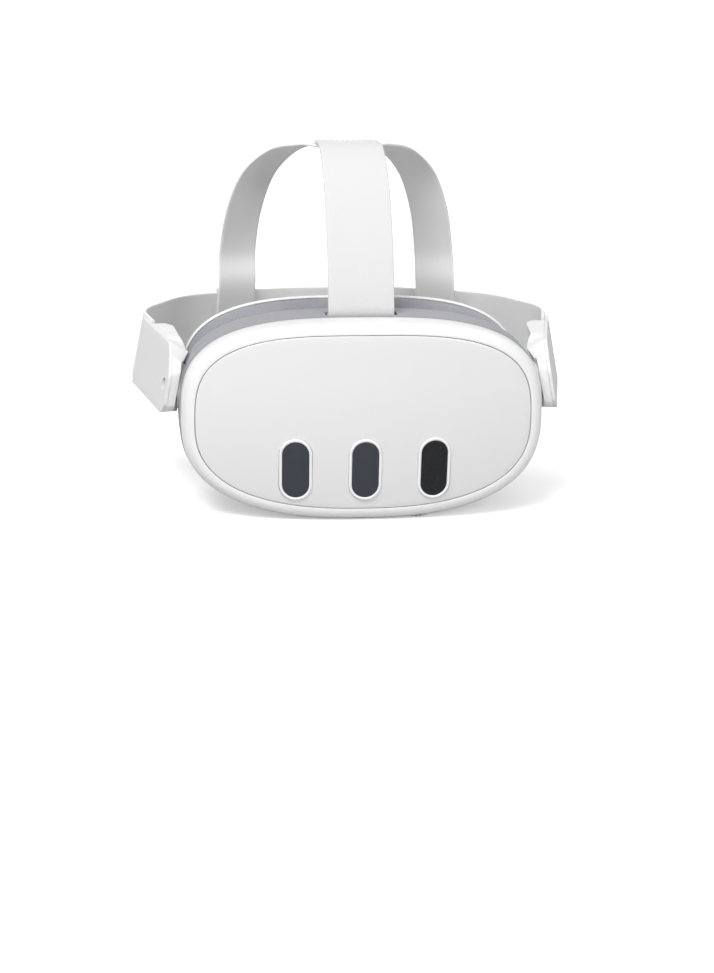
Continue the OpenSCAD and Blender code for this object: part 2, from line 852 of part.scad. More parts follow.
// Middle line of one rear strap from the crown down to the band, and the way its front edge faces.
hoop_points = [
    [0, 108, 126.2], [8.2, 120.2, 126.3], [17.8, 134.8, 125.6], [31.5, 152.2, 120.1],
    [44.7, 163.4, 105.6], [52.7, 168.9, 83.9], [56.3, 171.9, 59]
];
hoop_edges = [
    [0.47, -0.87, 0.11], [0.59, -0.8, 0.07], [0.7, -0.71, 0.04], [0.8, -0.6, 0.05],
    [0.86, -0.5, 0.03], [0.91, -0.42, 0.01], [0.93, -0.37, 0]
];

// Where the hoop lies on the band: the straight stretch behind the head.
diagonal = unit(band_corners[3] - band_corners[2]);
hoop_foot = band_corners[2] + diagonal * 33.7;
hoop_out = band_out - band_t / 2 - 0.3 - 1.5 - 0.3 - hoop_t / 2;

function on_band(along, height, out) =
    let (p = hoop_foot + diagonal * along, o = [diagonal[1], -diagonal[0], 0],
         w = cos(lean) * [0, 0, 1] - sin(lean) * o)
        [p[0], p[1], band_middle] + o * out + w * (height - band_middle) / cos(lean);

module rear_hoop() {
    // A little of each strap crosses the middle, to be cut off where the two are sewn together.
    before = hoop_points[0] - 0.7 * (hoop_points[1] - hoop_points[0]);
    line = concat([before], hoop_points, [for (h = [band_high + 5, 20, band_low]) on_band(0, h, hoop_out)]);
    across = -[diagonal[0], diagonal[1], 0];
    edges = concat([hoop_edges[0]], hoop_edges, [across, across, across]);
    color("silver") both_sides() intersection() {
        skin(ribbon(spline(line, 3), spline(edges, 3), hoop_w, hoop_t));
        block([-tiny, 98.5, -10], [100, 200, 150]);
    }
}

// Middle line of the front strap, from where it leaves its bar up to the crown.
front_line = [
    [0, 30.7, 45.6], [0, 30.9, 54], [0, 33.6, 67], [0, 39.6, 82], [0, 48.6, 97.5],
    [0, 60.5, 111.7], [0, 74, 121.8], [0, 86, 127.2], [0, 97, 129.5], [0, 109, 129.3],
    [0, 122, 128.8]
];
strap_t = 1.5;

module front_strap() {
    turn = [for (a = [180:-22.5:0]) [0, 33 - 2.3 * cos(a), 45.6 - 2.3 * sin(a)]];
    path = concat([[0, 35.3, 50.6]], turn,
                  spline([for (i = [1:len(front_line) - 1]) front_line[i]], 3));
    color("gainsboro") skin(ribbon(path, [for (p = path) [1, 0, 0]], front_strap_w, strap_t));
}

module strap_tab() {
    line = spline([for (i = [1:6]) front_line[i]], 3);
    path = [for (i = [0:len(line) - 3])
        let (t = heading(line, i)) line[i] + (strap_t + 0.3) * [0, t[2], -t[1]]];
    kept = concat([[0, 34.8, 51.4]], [for (p = path) if (p[2] > 57) p]);
    color("lightgray") skin(ribbon(kept, [for (p = kept) [1, 0, 0]], front_strap_w - 1.6, strap_t));
}

// Sleeve that slides along the band behind the hoop's foot, to size the strap.
module left_adjuster() {
    o = [diagonal[1], -diagonal[0], 0];
    gap = 0.3;
    plate = 1.5;
    w = 20;
    foot = on_band(0, band_middle, band_out);
    h = (band_high - band_low) / cos(lean);
    color("white") translate(foot)
        rotate([0, 0, atan2(diagonal[1], diagonal[0]) - 180])
            rotate([lean, 0, 0]) difference() {
                translate([-w / 2, -band_t / 2 - gap - plate, -h / 2 - gap - plate])
                    cube([w, band_t + 2 * gap + 2 * plate, h + 2 * gap + 2 * plate]);
                translate([-w, -band_t / 2 - gap, -h / 2 - gap])
                    cube([2 * w, band_t + 2 * gap, h + 2 * gap]);
                // Window in the outer face that leaves one bar across the fabric.
                for (s = [-1, 1]) translate([s * 5.4 - 2.6, 0, -h / 2 + 3])
                    cube([5.2, 10, h - 6]);
            }
}

// ---- Nodes ----

placed() front_shell();
placed() faceplate();
placed() window_trims();
placed() window_glass();
placed() camera_modules();
placed() middle_frame();
placed() chassis();
placed() mainboard();
placed() battery();
placed() fan_frame();
placed() fan_rotor();
placed() heat_sink();
placed() guide_rods();
placed() standoffs();
placed() housing_screws();
placed() eye_bezel();
placed() proximity_sensor();
placed() strap_bar();
placed() arm_socket();  // left_arm_socket
placed() mirror([1, 0, 0]) arm_socket();  // right_arm_socket
placed() hinge_pin();  // left_hinge_pin
placed() mirror([1, 0, 0]) hinge_pin();  // right_hinge_pin
placed() barrel();  // left_barrel
placed() lens();  // left_lens
placed() display();  // left_display
placed() left_rack();
placed() mirror([1, 0, 0]) barrel();  // right_barrel
placed() mirror([1, 0, 0]) lens();  // right_lens
placed() mirror([1, 0, 0]) display();  // right_display
placed() right_rack();
placed() ipd_wheel();
placed() ipd_pinion();
placed() ipd_idler();
placed() volume_rocker();
placed() interface_frame();
placed() face_cushion();
placed() nose_flap();
placed() depth_button();  // left_depth_button
placed() mirror([1, 0, 0]) depth_button();  // right_depth_button
placed() left_arm();
placed() left_arm_cover();
placed() speaker();  // left_speaker
placed() usb_socket();
placed() power_button();
placed() right_arm();
placed() right_arm_cover();
placed() mirror([1, 0, 0]) speaker();  // right_speaker
placed() audio_jack();
placed() head_band();
placed() rear_hoop();
placed() front_strap();
placed() strap_tab();
placed() left_adjuster();
placed() mirror([1, 0, 0]) left_adjuster();  // right_adjuster
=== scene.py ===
# %% [markdown]
# # A head-worn display headset
# This lesson dresses a finished mechanical model. Every hard part already has its true size and place,
# so Blender's work is the looks: smooth skins for the white shells, a foam cushion that puffs up as
# cloth does, woven straps, dark glass and soft studio light.

# %% Load the mechanical model
import math

import bmesh
import bpy
import numpy as np
from mathutils import Matrix, Vector
from mathutils.geometry import delaunay_2d_cdt


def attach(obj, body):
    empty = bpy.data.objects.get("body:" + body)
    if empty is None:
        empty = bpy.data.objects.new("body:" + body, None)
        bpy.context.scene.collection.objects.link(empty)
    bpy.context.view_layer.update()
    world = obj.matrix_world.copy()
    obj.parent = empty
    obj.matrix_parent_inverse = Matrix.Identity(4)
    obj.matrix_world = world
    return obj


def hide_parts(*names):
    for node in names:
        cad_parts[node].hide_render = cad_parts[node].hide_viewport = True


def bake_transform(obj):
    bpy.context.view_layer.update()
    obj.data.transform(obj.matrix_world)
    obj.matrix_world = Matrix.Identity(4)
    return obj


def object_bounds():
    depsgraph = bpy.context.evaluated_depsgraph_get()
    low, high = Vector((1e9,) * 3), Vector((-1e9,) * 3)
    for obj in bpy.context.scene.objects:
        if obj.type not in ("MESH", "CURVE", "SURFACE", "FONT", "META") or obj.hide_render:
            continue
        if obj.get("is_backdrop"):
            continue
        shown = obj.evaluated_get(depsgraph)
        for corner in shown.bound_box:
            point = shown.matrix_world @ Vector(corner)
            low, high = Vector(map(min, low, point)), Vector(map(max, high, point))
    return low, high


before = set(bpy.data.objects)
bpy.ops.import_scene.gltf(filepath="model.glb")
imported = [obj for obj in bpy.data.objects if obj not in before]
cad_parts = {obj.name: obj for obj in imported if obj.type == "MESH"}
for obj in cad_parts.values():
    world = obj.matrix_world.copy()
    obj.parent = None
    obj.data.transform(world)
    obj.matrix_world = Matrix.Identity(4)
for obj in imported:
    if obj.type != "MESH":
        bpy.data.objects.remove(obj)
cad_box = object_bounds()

# %% [markdown]
# ## Measures
# The visor was designed from the middle of its faceplate: sideways, back from the front, and up. The same
# measures, in millimetres, are kept here, so that each smooth skin lies exactly where its plainer
# mechanical part does. `stood` turns them into the model's own frame, in metres.

# %% Sizes of the visor
FACE_HALF_W = 86.5
FACE_HALF_H = 45.3
BULGE_X = 10.0
BULGE_Z = 3.5
RIM_SIDE = 6.8
RIM_TOP = 5.2
RIM_BOTTOM = 7.0
WALL = 2.2
SHELL_BACK = 25.5
FRAME_BACK = 52.5
TOP_ROUNDNESS = 3.0
BOTTOM_ROUNDNESS = 2.6
WINDOW_PITCH = 35.6
WINDOW_PLACES = (-WINDOW_PITCH, 0, WINDOW_PITCH)
WINDOW_DROP = 24.0
WINDOW_W = 13.8
WINDOW_H = 29.8
LIFT = 52.0
REST_DEPTH = 30.0
MM = 0.001


def stood(points):
    """Points (side, depth, height) in millimetres, as metres in the model's frame."""
    p = np.asarray(points, float).copy()
    p[..., 1] -= REST_DEPTH
    p[..., 2] += LIFT
    return p * MM


# %% [markdown]
# ## Helpers that build meshes
# Most of this object is lofted: a row of closed rings, joined by quads. A shape that is a plain grid of
# quads takes smooth shading well, and its corners can be rounded by adding rings close together.

# %% Mesh helpers
SHARP_ANGLE = math.radians(38)


def new_object(name, vertices, faces, smooth=True):
    mesh = bpy.data.meshes.new(name)
    mesh.from_pydata([tuple(v) for v in vertices], [], [tuple(f) for f in faces])
    work = bmesh.new()
    work.from_mesh(mesh)
    bmesh.ops.recalc_face_normals(work, faces=work.faces)
    work.to_mesh(mesh)
    work.free()
    if smooth:
        mesh.shade_smooth()
        mesh.set_sharp_from_angle(angle=SHARP_ANGLE)
    piece = bpy.data.objects.new(name, mesh)
    bpy.context.scene.collection.objects.link(piece)
    return piece


def grid_faces(rows, columns, wrap_rows, wrap_columns, first=0):
    """Quads over rows of points, each row of the same length."""
    faces = []
    for j in range(rows if wrap_rows else rows - 1):
        for i in range(columns if wrap_columns else columns - 1):
            k, h = (j + 1) % rows, (i + 1) % columns
            faces.append((first + j * columns + i, first + j * columns + h,
                          first + k * columns + h, first + k * columns + i))
    return faces


def loft(name, rings, closed=False, caps=True):
    """Skins rings of points. closed joins the last ring to the first; otherwise caps fill both ends."""
    rings = np.asarray(rings, float)
    rows, columns = rings.shape[:2]
    faces = grid_faces(rows, columns, closed, True)
    if caps and not closed:
        faces.append(tuple(range(columns)))
        faces.append(tuple((rows - 1) * columns + i for i in range(columns)))
    return new_object(name, rings.reshape(-1, 3), faces)


def spline(points, steps):
    """Catmull-Rom curve through the points, with steps to each stretch."""
    p = np.asarray(points, float)
    out = []
    for i in range(len(p) - 1):
        a, b, c, d = p[max(i - 1, 0)], p[i], p[i + 1], p[min(i + 2, len(p) - 1)]
        for s in range(steps):
            u = s / steps
            out.append(0.5 * (2 * b + (c - a) * u + (2 * a - 5 * b + 4 * c - d) * u ** 2
                              + (3 * b - a - 3 * c + d) * u ** 3))
    out.append(p[-1])
    return np.array(out)


def apply_modifiers(piece):
    """Bakes a piece's modifiers into its mesh."""
    bpy.context.view_layer.update()
    evaluated = piece.evaluated_get(bpy.context.evaluated_depsgraph_get())
    mesh = bpy.data.meshes.new_from_object(evaluated)
    old = piece.data
    piece.modifiers.clear()
    piece.data = mesh
    bpy.data.meshes.remove(old)
    return piece


def cut(piece, *cutters):
    """Takes the cutters' volumes out of a piece, and removes the cutters."""
    for cutter in cutters:
        step = piece.modifiers.new("cut", "BOOLEAN")
        step.operation = "DIFFERENCE"
        step.solver = "EXACT"
        step.object = cutter
    apply_modifiers(piece)
    for cutter in cutters:
        bpy.data.objects.remove(cutter)
    piece.data.shade_smooth()
    piece.data.set_sharp_from_angle(angle=SHARP_ANGLE)
    return piece


def prism(name, outline_2d, direction, low, high):
    """A straight prism. outline_2d is a list of pairs across the direction, 'x' or 'y'; all in mm."""
    rings = []
    for along in (low, high):
        ring = [(along, u, v) if direction == "x" else (u, along, v) for u, v in outline_2d]
        rings.append(stood(ring))
    return loft(name, rings)


def circle(centre, radius, count=96):
    angles = np.linspace(0, 2 * math.pi, count, endpoint=False)
    return [(centre[0] + radius * math.cos(t), centre[1] + radius * math.sin(t)) for t in angles]


def rectangle(low, high):
    return [(low[0], low[1]), (high[0], low[1]), (high[0], high[1]), (low[0], high[1])]


# %% [markdown]
# ## Finishes shared by several materials
# Moulded plastic is never one even colour: it has a very fine grain, a faint slow drift in tone, smudges
# that change its gloss, and a little rubbing on its edges. Woven elastic has threads that go over and
# under. Each of those is a node group here, built once with named inputs, and each material places it with
# its own values.

# %% Node helpers
def new_group(name, inputs, outputs):
    group = bpy.data.node_groups.new(name, "ShaderNodeTree")
    for label, kind, value in inputs:
        made = group.interface.new_socket(name=label, in_out="INPUT", socket_type=kind)
        if value is not None:
            made.default_value = value
    for label, kind in outputs:
        group.interface.new_socket(name=label, in_out="OUTPUT", socket_type=kind)
    return group, group.nodes.new("NodeGroupInput"), group.nodes.new("NodeGroupOutput")


def wire(tree, source, target):
    tree.links.new(source, target)


def math_node(tree, operation, a, b=None, clamp=False):
    node = tree.nodes.new("ShaderNodeMath")
    node.operation = operation
    node.use_clamp = clamp
    for index, value in enumerate((a, b)):
        if value is None:
            continue
        if isinstance(value, (int, float)):
            node.inputs[index].default_value = value
        else:
            wire(tree, value, node.inputs[index])
    return node.outputs[0]


def mix_colour(tree, share, a, b):
    node = tree.nodes.new("ShaderNodeMix")
    node.data_type = "RGBA"
    for index, value in ((0, share), (6, a), (7, b)):
        if isinstance(value, (int, float)):
            node.inputs[index].default_value = value
        elif isinstance(value, tuple):
            node.inputs[index].default_value = value
        else:
            wire(tree, value, node.inputs[index])
    return node.outputs[2]


def noise(tree, coordinates, scale, detail=3.0, roughness=0.5):
    node = tree.nodes.new("ShaderNodeTexNoise")
    node.inputs["Detail"].default_value = detail
    node.inputs["Roughness"].default_value = roughness
    if isinstance(scale, (int, float)):
        node.inputs["Scale"].default_value = scale
    else:
        wire(tree, scale, node.inputs["Scale"])
    wire(tree, coordinates, node.inputs["Vector"])
    return node.outputs["Fac"]


# %% Moulded plastic: fine grain, slow drift in tone, rubbed edges
def build_moulded_group():
    group, given, result = new_group(
        "moulded_surface",
        [("Colour", "NodeSocketColor", (0.8, 0.8, 0.8, 1)),
         ("Rubbed Colour", "NodeSocketColor", (0.9, 0.9, 0.9, 1)),
         ("Roughness", "NodeSocketFloat", 0.4), ("Roughness Drift", "NodeSocketFloat", 0.06),
         ("Grain Scale", "NodeSocketFloat", 2500.0), ("Tone Drift", "NodeSocketFloat", 0.03),
         ("Edge Wear", "NodeSocketFloat", 0.2)],
        [("Colour", "NodeSocketColor"), ("Roughness", "NodeSocketFloat"), ("Height", "NodeSocketFloat")])
    place = group.nodes.new("ShaderNodeTexCoord").outputs["Object"]
    geometry = group.nodes.new("ShaderNodeNewGeometry")
    grain = noise(group, place, given.outputs["Grain Scale"], 4.0, 0.6)
    slow = noise(group, place, 22.0, 2.0)
    tone = math_node(group, "SUBTRACT", slow, 0.5)
    tone = math_node(group, "MULTIPLY", tone, given.outputs["Tone Drift"])
    shade = group.nodes.new("ShaderNodeHueSaturation")
    wire(group, math_node(group, "ADD", tone, 1.0), shade.inputs["Value"])
    wire(group, given.outputs["Colour"], shade.inputs["Color"])
    edge = math_node(group, "SUBTRACT", geometry.outputs["Pointiness"], 0.52)
    edge = math_node(group, "MULTIPLY", edge, 12.0, clamp=True)
    edge = math_node(group, "MULTIPLY", edge, noise(group, place, 160.0, 4.0))
    edge = math_node(group, "MULTIPLY", edge, given.outputs["Edge Wear"], clamp=True)
    wire(group, mix_colour(group, edge, shade.outputs[0], given.outputs["Rubbed Colour"]),
         result.inputs["Colour"])
    smudge = math_node(group, "SUBTRACT", noise(group, place, 60.0, 5.0, 0.6), 0.5)
    smudge = math_node(group, "MULTIPLY", smudge, given.outputs["Roughness Drift"])
    wire(group, math_node(group, "ADD", given.outputs["Roughness"], smudge, clamp=True),
         result.inputs["Roughness"])
    wire(group, grain, result.inputs["Height"])
    return group


moulded = build_moulded_group()
print(moulded.name, "has", len(moulded.nodes), "nodes")


# %% Woven elastic: threads over and under, with a fluffy tone
def thread_profile(group, position):
    """Height across rounded threads, one to each whole step of the position."""
    turns = math_node(group, "MULTIPLY", position, math.pi)
    return math_node(group, "ABSOLUTE", math_node(group, "SINE", turns))


def build_weave_group():
    group, given, result = new_group(
        "woven_surface",
        [("Colour", "NodeSocketColor", (0.6, 0.6, 0.6, 1)),
         ("Gap Colour", "NodeSocketColor", (0.4, 0.4, 0.4, 1)),
         ("Thread Width", "NodeSocketFloat", 0.0006), ("Along", "NodeSocketFloat", 0.0),
         ("Across", "NodeSocketFloat", 0.0), ("Fluff", "NodeSocketFloat", 0.06)],
        [("Colour", "NodeSocketColor"), ("Height", "NodeSocketFloat")])
    along = math_node(group, "DIVIDE", given.outputs["Along"], given.outputs["Thread Width"])
    across = math_node(group, "DIVIDE", given.outputs["Across"], given.outputs["Thread Width"])
    warp, weft = (thread_profile(group, position) for position in (across, along))
    checker_a = math_node(group, "FLOOR", along)
    checker_b = math_node(group, "FLOOR", across)
    over = math_node(group, "MODULO", math_node(group, "ADD", checker_a, checker_b), 2.0)
    over = math_node(group, "ABSOLUTE", over)
    height_over = math_node(group, "MULTIPLY", warp, over)
    under = math_node(group, "SUBTRACT", 1.0, over)
    height_under = math_node(group, "MULTIPLY", weft, under)
    height = math_node(group, "ADD", height_over, height_under)
    place = group.nodes.new("ShaderNodeTexCoord").outputs["Object"]
    fluff = math_node(group, "SUBTRACT", noise(group, place, 1400.0, 3.0), 0.5)
    fluff = math_node(group, "MULTIPLY", fluff, given.outputs["Fluff"])
    shade = group.nodes.new("ShaderNodeHueSaturation")
    wire(group, math_node(group, "ADD", fluff, 1.0), shade.inputs["Value"])
    wire(group, given.outputs["Colour"], shade.inputs["Color"])
    wire(group, mix_colour(group, height, given.outputs["Gap Colour"], shade.outputs[0]),
         result.inputs["Colour"])
    wire(group, height, result.inputs["Height"])
    return group


woven = build_weave_group()
print(woven.name, "has", len(woven.nodes), "nodes")


# %% Material helpers
def new_material(name):
    material = bpy.data.materials.new(name)
    material.use_nodes = True
    tree = material.node_tree
    shader = next(n for n in tree.nodes if n.type == "BSDF_PRINCIPLED")
    return material, tree, shader


def place_group(tree, group, **values):
    node = tree.nodes.new("ShaderNodeGroup")
    node.node_tree = group
    for label, value in values.items():
        node.inputs[label.replace("_", " ")].default_value = value
    return node


def bump(tree, shader, height, distance, strength):
    node = tree.nodes.new("ShaderNodeBump")
    node.inputs["Distance"].default_value = distance
    node.inputs["Strength"].default_value = strength
    wire(tree, height, node.inputs["Height"])
    wire(tree, node.outputs["Normal"], shader.inputs["Normal"])


def grey(value, tint=(1.0, 1.0, 1.0)):
    return (value * tint[0], value * tint[1], value * tint[2], 1.0)


def plastic(name, colour, roughness, grain=2500.0, grain_depth=0.00002, strength=0.25, coat=0.0,
            drift=0.05, wear=0.15, tone=0.03, rubbed=None):
    """A moulded plastic: the shared surface group feeding one Principled shader."""
    material, tree, shader = new_material(name)
    surface = place_group(tree, moulded, Colour=colour, Rubbed_Colour=rubbed or colour,
                          Roughness=roughness, Roughness_Drift=drift, Grain_Scale=grain,
                          Tone_Drift=tone, Edge_Wear=wear)
    wire(tree, surface.outputs["Colour"], shader.inputs["Base Color"])
    wire(tree, surface.outputs["Roughness"], shader.inputs["Roughness"])
    shader.inputs["Coat Weight"].default_value = coat
    shader.inputs["Coat Roughness"].default_value = 0.08
    bump(tree, shader, surface.outputs["Height"], grain_depth, strength)
    return material


def metal(name, colour, roughness, grain=900.0):
    material = plastic(name, colour, roughness, grain=grain, strength=0.15, drift=0.12)
    shader = next(n for n in material.node_tree.nodes if n.type == "BSDF_PRINCIPLED")
    shader.inputs["Metallic"].default_value = 1.0
    return material


# %% [markdown]
# ## The finishes themselves
# The shell and arms are satin white, the faceplate a glossier white under a clear coat. The ring behind
# the shell and the arm covers are pale greys. Inside, the parts are near-black so that they don't
# reflect light into the lenses.

# %% Plastics and metals
COOL = (0.985, 0.99, 1.0)
shell_white = plastic("shell_white", grey(0.86), 0.36, grain=1800.0, coat=0.15, tone=0.015, wear=0.0)
faceplate_white = plastic("faceplate_white", grey(0.78), 0.26, strength=0.04, coat=0.6, drift=0.03,
                          tone=0.01, wear=0.0)
trim_white = plastic("trim_white", grey(0.9), 0.3, coat=0.3, tone=0.01, wear=0.0)
ring_grey = plastic("ring_grey", grey(0.36, (0.98, 0.98, 1.06)), 0.42, tone=0.04)
cover_grey = plastic("cover_grey", grey(0.79), 0.45, tone=0.02, grain=2200.0)
carrier_grey = plastic("carrier_grey", grey(0.36, (0.98, 0.98, 1.03)), 0.55, tone=0.05)
inner_black = plastic("inner_black", grey(0.018), 0.5, tone=0.1)
module_black = plastic("module_black", grey(0.012, (0.95, 1.0, 1.1)), 0.28, tone=0.1)
rubber_black = plastic("rubber_black", grey(0.02), 0.7, grain=1200.0, strength=0.5)
steel = metal("steel", grey(0.56), 0.3)
brass = metal("brass", (0.62, 0.44, 0.18, 1), 0.32)
aluminium = metal("aluminium", grey(0.66, COOL), 0.38)


# %% [markdown]
# ## Circuit board
# The board is seen only if the case is opened, but it should look like one: green mask with tracks. The
# mortar of a fine brick pattern gives the tracks.

# %% Circuit board finish
def build_board():
    material, tree, shader = new_material("board_green")
    place = tree.nodes.new("ShaderNodeTexCoord").outputs["Object"]
    mapping = tree.nodes.new("ShaderNodeMapping")
    mapping.inputs["Rotation"].default_value = (math.radians(90), 0, 0)
    wire(tree, place, mapping.inputs["Vector"])
    tracks = tree.nodes.new("ShaderNodeTexBrick")
    tracks.inputs["Scale"].default_value = 260.0
    tracks.inputs["Mortar Size"].default_value = 0.04
    tracks.inputs["Color1"].default_value = (0.01, 0.09, 0.035, 1)
    tracks.inputs["Color2"].default_value = (0.012, 0.11, 0.04, 1)
    tracks.inputs["Mortar"].default_value = (0.03, 0.2, 0.08, 1)
    wire(tree, mapping.outputs[0], tracks.inputs["Vector"])
    wire(tree, tracks.outputs["Color"], shader.inputs["Base Color"])
    bump(tree, shader, tracks.outputs["Fac"], 0.00003, 0.4)
    shader.inputs["Roughness"].default_value = 0.35
    return material


board_green = build_board()


# %% [markdown]
# ## Glass
# The three windows are dark tinted glass. The middle one and the one on the wearer's right are painted a
# lighter tint, a painted reflection of the light they catch; the one on the wearer's left is painted
# darker. The eyepiece lenses are clear. A slow noise in the window's tint stands for its coating.

# %% Glass finishes
def build_window_glass():
    material, tree, shader = new_material("window_tint_painted_reflection")
    place = tree.nodes.new("ShaderNodeTexCoord").outputs["Object"]
    split = tree.nodes.new("ShaderNodeSeparateXYZ")
    wire(tree, place, split.inputs[0])
    # Painted reflection: the window on the wearer's left is painted darker than the other two, which get a
    # lighter tint for the light they catch.
    side = tree.nodes.new("ShaderNodeMapRange")
    side.inputs["From Min"].default_value = 0.012
    side.inputs["From Max"].default_value = 0.028
    wire(tree, split.outputs["X"], side.inputs["Value"])
    cloud = noise(tree, place, 120.0, 2.0)
    # Painted reflection: the lighter first colour goes on the middle window and the wearer's right one.
    tint = mix_colour(tree, side.outputs["Result"], (0.05, 0.054, 0.07, 1), (0.01, 0.011, 0.014, 1))
    soft = mix_colour(tree, math_node(tree, "MULTIPLY", cloud, 0.25), tint, (0.022, 0.024, 0.032, 1))
    wire(tree, soft, shader.inputs["Base Color"])
    shader.inputs["Roughness"].default_value = 0.12
    shader.inputs["Alpha"].default_value = 0.9
    shader.inputs["Specular IOR Level"].default_value = 0.35
    return material


def build_lens_glass():
    material, tree, shader = new_material("lens_clear")
    place = tree.nodes.new("ShaderNodeTexCoord").outputs["Object"]
    tint = mix_colour(tree, noise(tree, place, 40.0, 2.0), (0.86, 0.92, 0.96, 1), (0.92, 0.96, 1.0, 1))
    wire(tree, tint, shader.inputs["Base Color"])
    shader.inputs["Roughness"].default_value = 0.03
    shader.inputs["Transmission Weight"].default_value = 0.9
    shader.inputs["IOR"].default_value = 1.49
    return material


window_tint_painted_reflection = build_window_glass()
lens_clear = build_lens_glass()


# %% [markdown]
# ## Fabrics
# The straps are a close woven elastic, so their threads must run along the strap: each strap mesh carries
# a map of metres along and across it. The face cushion is covered in a fine knit; it is a rounded
# form with no natural map, so its knit comes from where each point is in space.

# %% Strap fabric
def build_strap_fabric(name, colour, gap, thread=0.00055, depth=0.00012):
    material, tree, shader = new_material(name)
    metres = tree.nodes.new("ShaderNodeUVMap")
    metres.uv_map = "metres"
    split = tree.nodes.new("ShaderNodeSeparateXYZ")
    wire(tree, metres.outputs[0], split.inputs[0])
    cloth = place_group(tree, woven, Colour=colour, Gap_Colour=gap, Thread_Width=thread, Fluff=0.08)
    wire(tree, split.outputs["X"], cloth.inputs["Along"])
    wire(tree, split.outputs["Y"], cloth.inputs["Across"])
    wire(tree, cloth.outputs["Colour"], shader.inputs["Base Color"])
    bump(tree, shader, cloth.outputs["Height"], depth, 0.35)
    shader.inputs["Roughness"].default_value = 0.85
    shader.inputs["Sheen Weight"].default_value = 0.1
    shader.inputs["Sheen Roughness"].default_value = 0.5
    return material


def build_knit():
    material, tree, shader = new_material("cushion_knit")
    place = tree.nodes.new("ShaderNodeTexCoord").outputs["Object"]
    cells = tree.nodes.new("ShaderNodeTexVoronoi")
    cells.inputs["Scale"].default_value = 900.0
    wire(tree, place, cells.inputs["Vector"])
    drift = noise(tree, place, 45.0, 3.0)
    base = mix_colour(tree, drift, (0.29, 0.29, 0.325, 1), (0.36, 0.36, 0.395, 1))
    tone = mix_colour(tree, math_node(tree, "MULTIPLY", cells.outputs["Distance"], 0.5), base,
                      (0.18, 0.18, 0.205, 1))
    wire(tree, tone, shader.inputs["Base Color"])
    bump(tree, shader, cells.outputs["Distance"], 0.00025, 0.5)
    shader.inputs["Roughness"].default_value = 0.9
    shader.inputs["Sheen Weight"].default_value = 0.3
    return material


band_fabric = build_strap_fabric("band_fabric", grey(0.93), grey(0.8))
hoop_fabric = build_strap_fabric("hoop_fabric", grey(0.9), grey(0.77))
front_fabric = build_strap_fabric("front_fabric", grey(0.74), grey(0.62))
hook_fabric = build_strap_fabric("hook_fabric", grey(0.68), grey(0.42), thread=0.0011, depth=0.0004)
cushion_knit = build_knit()
lip_white = plastic("lip_white", grey(0.9), 0.42, tone=0.01, wear=0.0)
print(f"{len(bpy.data.materials)} materials")


# %% Give a piece its finish
def dress(piece, material):
    piece.data.materials.clear()
    piece.data.materials.append(material)
    print(f"{piece.name}: {len(piece.data.polygons)} faces, {material.name}")
    return piece


# %% [markdown]
# ## Rings of the visor
# The outline from the front is a rounded rectangle whose upper half is squarer than its lower half. One
# unit outline, in which x and z run from -1 to 1, is scaled to make every ring, so that all the rings of a
# loft match point for point.

# %% The unit outline and the rings
RING_POINTS = 256


def unit_outline(count=RING_POINTS):
    angles = np.linspace(0, 2 * math.pi, count, endpoint=False)
    c, s = np.cos(angles), np.sin(angles)
    power = np.where(s < 0, BOTTOM_ROUNDNESS, TOP_ROUNDNESS)
    reach = (np.abs(c) ** power + np.abs(s) ** power) ** (-1 / power)
    return c * reach, s * reach


UNIT_X, UNIT_Z = unit_outline()


def bulge(x, z):
    return BULGE_X * (x / FACE_HALF_W) ** 2 + BULGE_Z * (z / FACE_HALF_H) ** 2


def scaled(half_w, top, bottom):
    return half_w * UNIT_X, np.where(UNIT_Z < 0, bottom, top) * UNIT_Z


def rim(share, inset=0.0):
    """Side and height of the ring that lies share of the way across the rim."""
    return scaled(FACE_HALF_W + share * RIM_SIDE - inset, FACE_HALF_H + share * RIM_TOP - inset,
                  FACE_HALF_H + share * RIM_BOTTOM - inset)


def seam_ring(share, inset, back):
    """Ring that follows the faceplate's dome, back by a distance."""
    x, z = rim(share, inset)
    depth = bulge(FACE_HALF_W * UNIT_X, FACE_HALF_H * UNIT_Z) + back
    return stood(np.stack([x, depth, np.maximum(z, -LIFT)], 1))


def flat_ring(share, inset, depth):
    x, z = rim(share, inset)
    return stood(np.stack([x, np.full_like(x, depth), np.maximum(z, -LIFT + inset)], 1))


# %% [markdown]
# ## Front shell
# The white shell starts at the parting line round the faceplate, rolls over in a soft quarter round, and
# runs straight back. Rings crowd together at the parting line to round that small edge, so that it
# catches a thin highlight as the real one does.

# %% Build the front shell
ROLL = [(0.05, 0.02), (0.27, 0.2), (0.52, 1.0), (0.74, 2.5), (0.9, 4.6), (0.975, 6.4), (1.0, 8.2)]


def build_front_shell():
    roll = spline([(s, b) for s, b in ROLL], 4)
    rings = [seam_ring(0, -0.15, 2.7), seam_ring(0, -0.15, 0.5), seam_ring(0.005, -0.15, 0.24),
             seam_ring(0.02, -0.15, 0.08)]
    rings += [seam_ring(share, 0, back) for share, back in roll]
    rings += [flat_ring(1, 0, d) for d in np.linspace(19.2, SHELL_BACK - 0.35, 3)]
    rings += [flat_ring(1, 0.1, SHELL_BACK - 0.1), flat_ring(1, 0.35, SHELL_BACK)]
    rings += [flat_ring(1, WALL, SHELL_BACK), seam_ring(1, WALL, 8.4), seam_ring(0.6, WALL, 5),
              seam_ring(0, 3, 4.4), seam_ring(0, 3, 2.75)]
    return loft("shell_skin", rings, closed=True)


shell_skin = build_front_shell()
WHEEL = (28.0, -40.8)
cut(shell_skin,
    prism("wheel_slot", circle(WHEEL, 11.5), "y", 9.6, 15.6),
    prism("rocker_slot", rectangle((-40.2, -60), (-19.8, -44)), "y", 9.6, 14.4))
dress(shell_skin, shell_white)
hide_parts("front_shell")
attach(shell_skin, "visor")

# %% [markdown]
# ## Middle frame
# Behind the shell is a pale grey ring. It has a round recess on each side for the arm's hub, and a slot
# in the top for the strap. It is lofted like the shell, then those openings are cut.

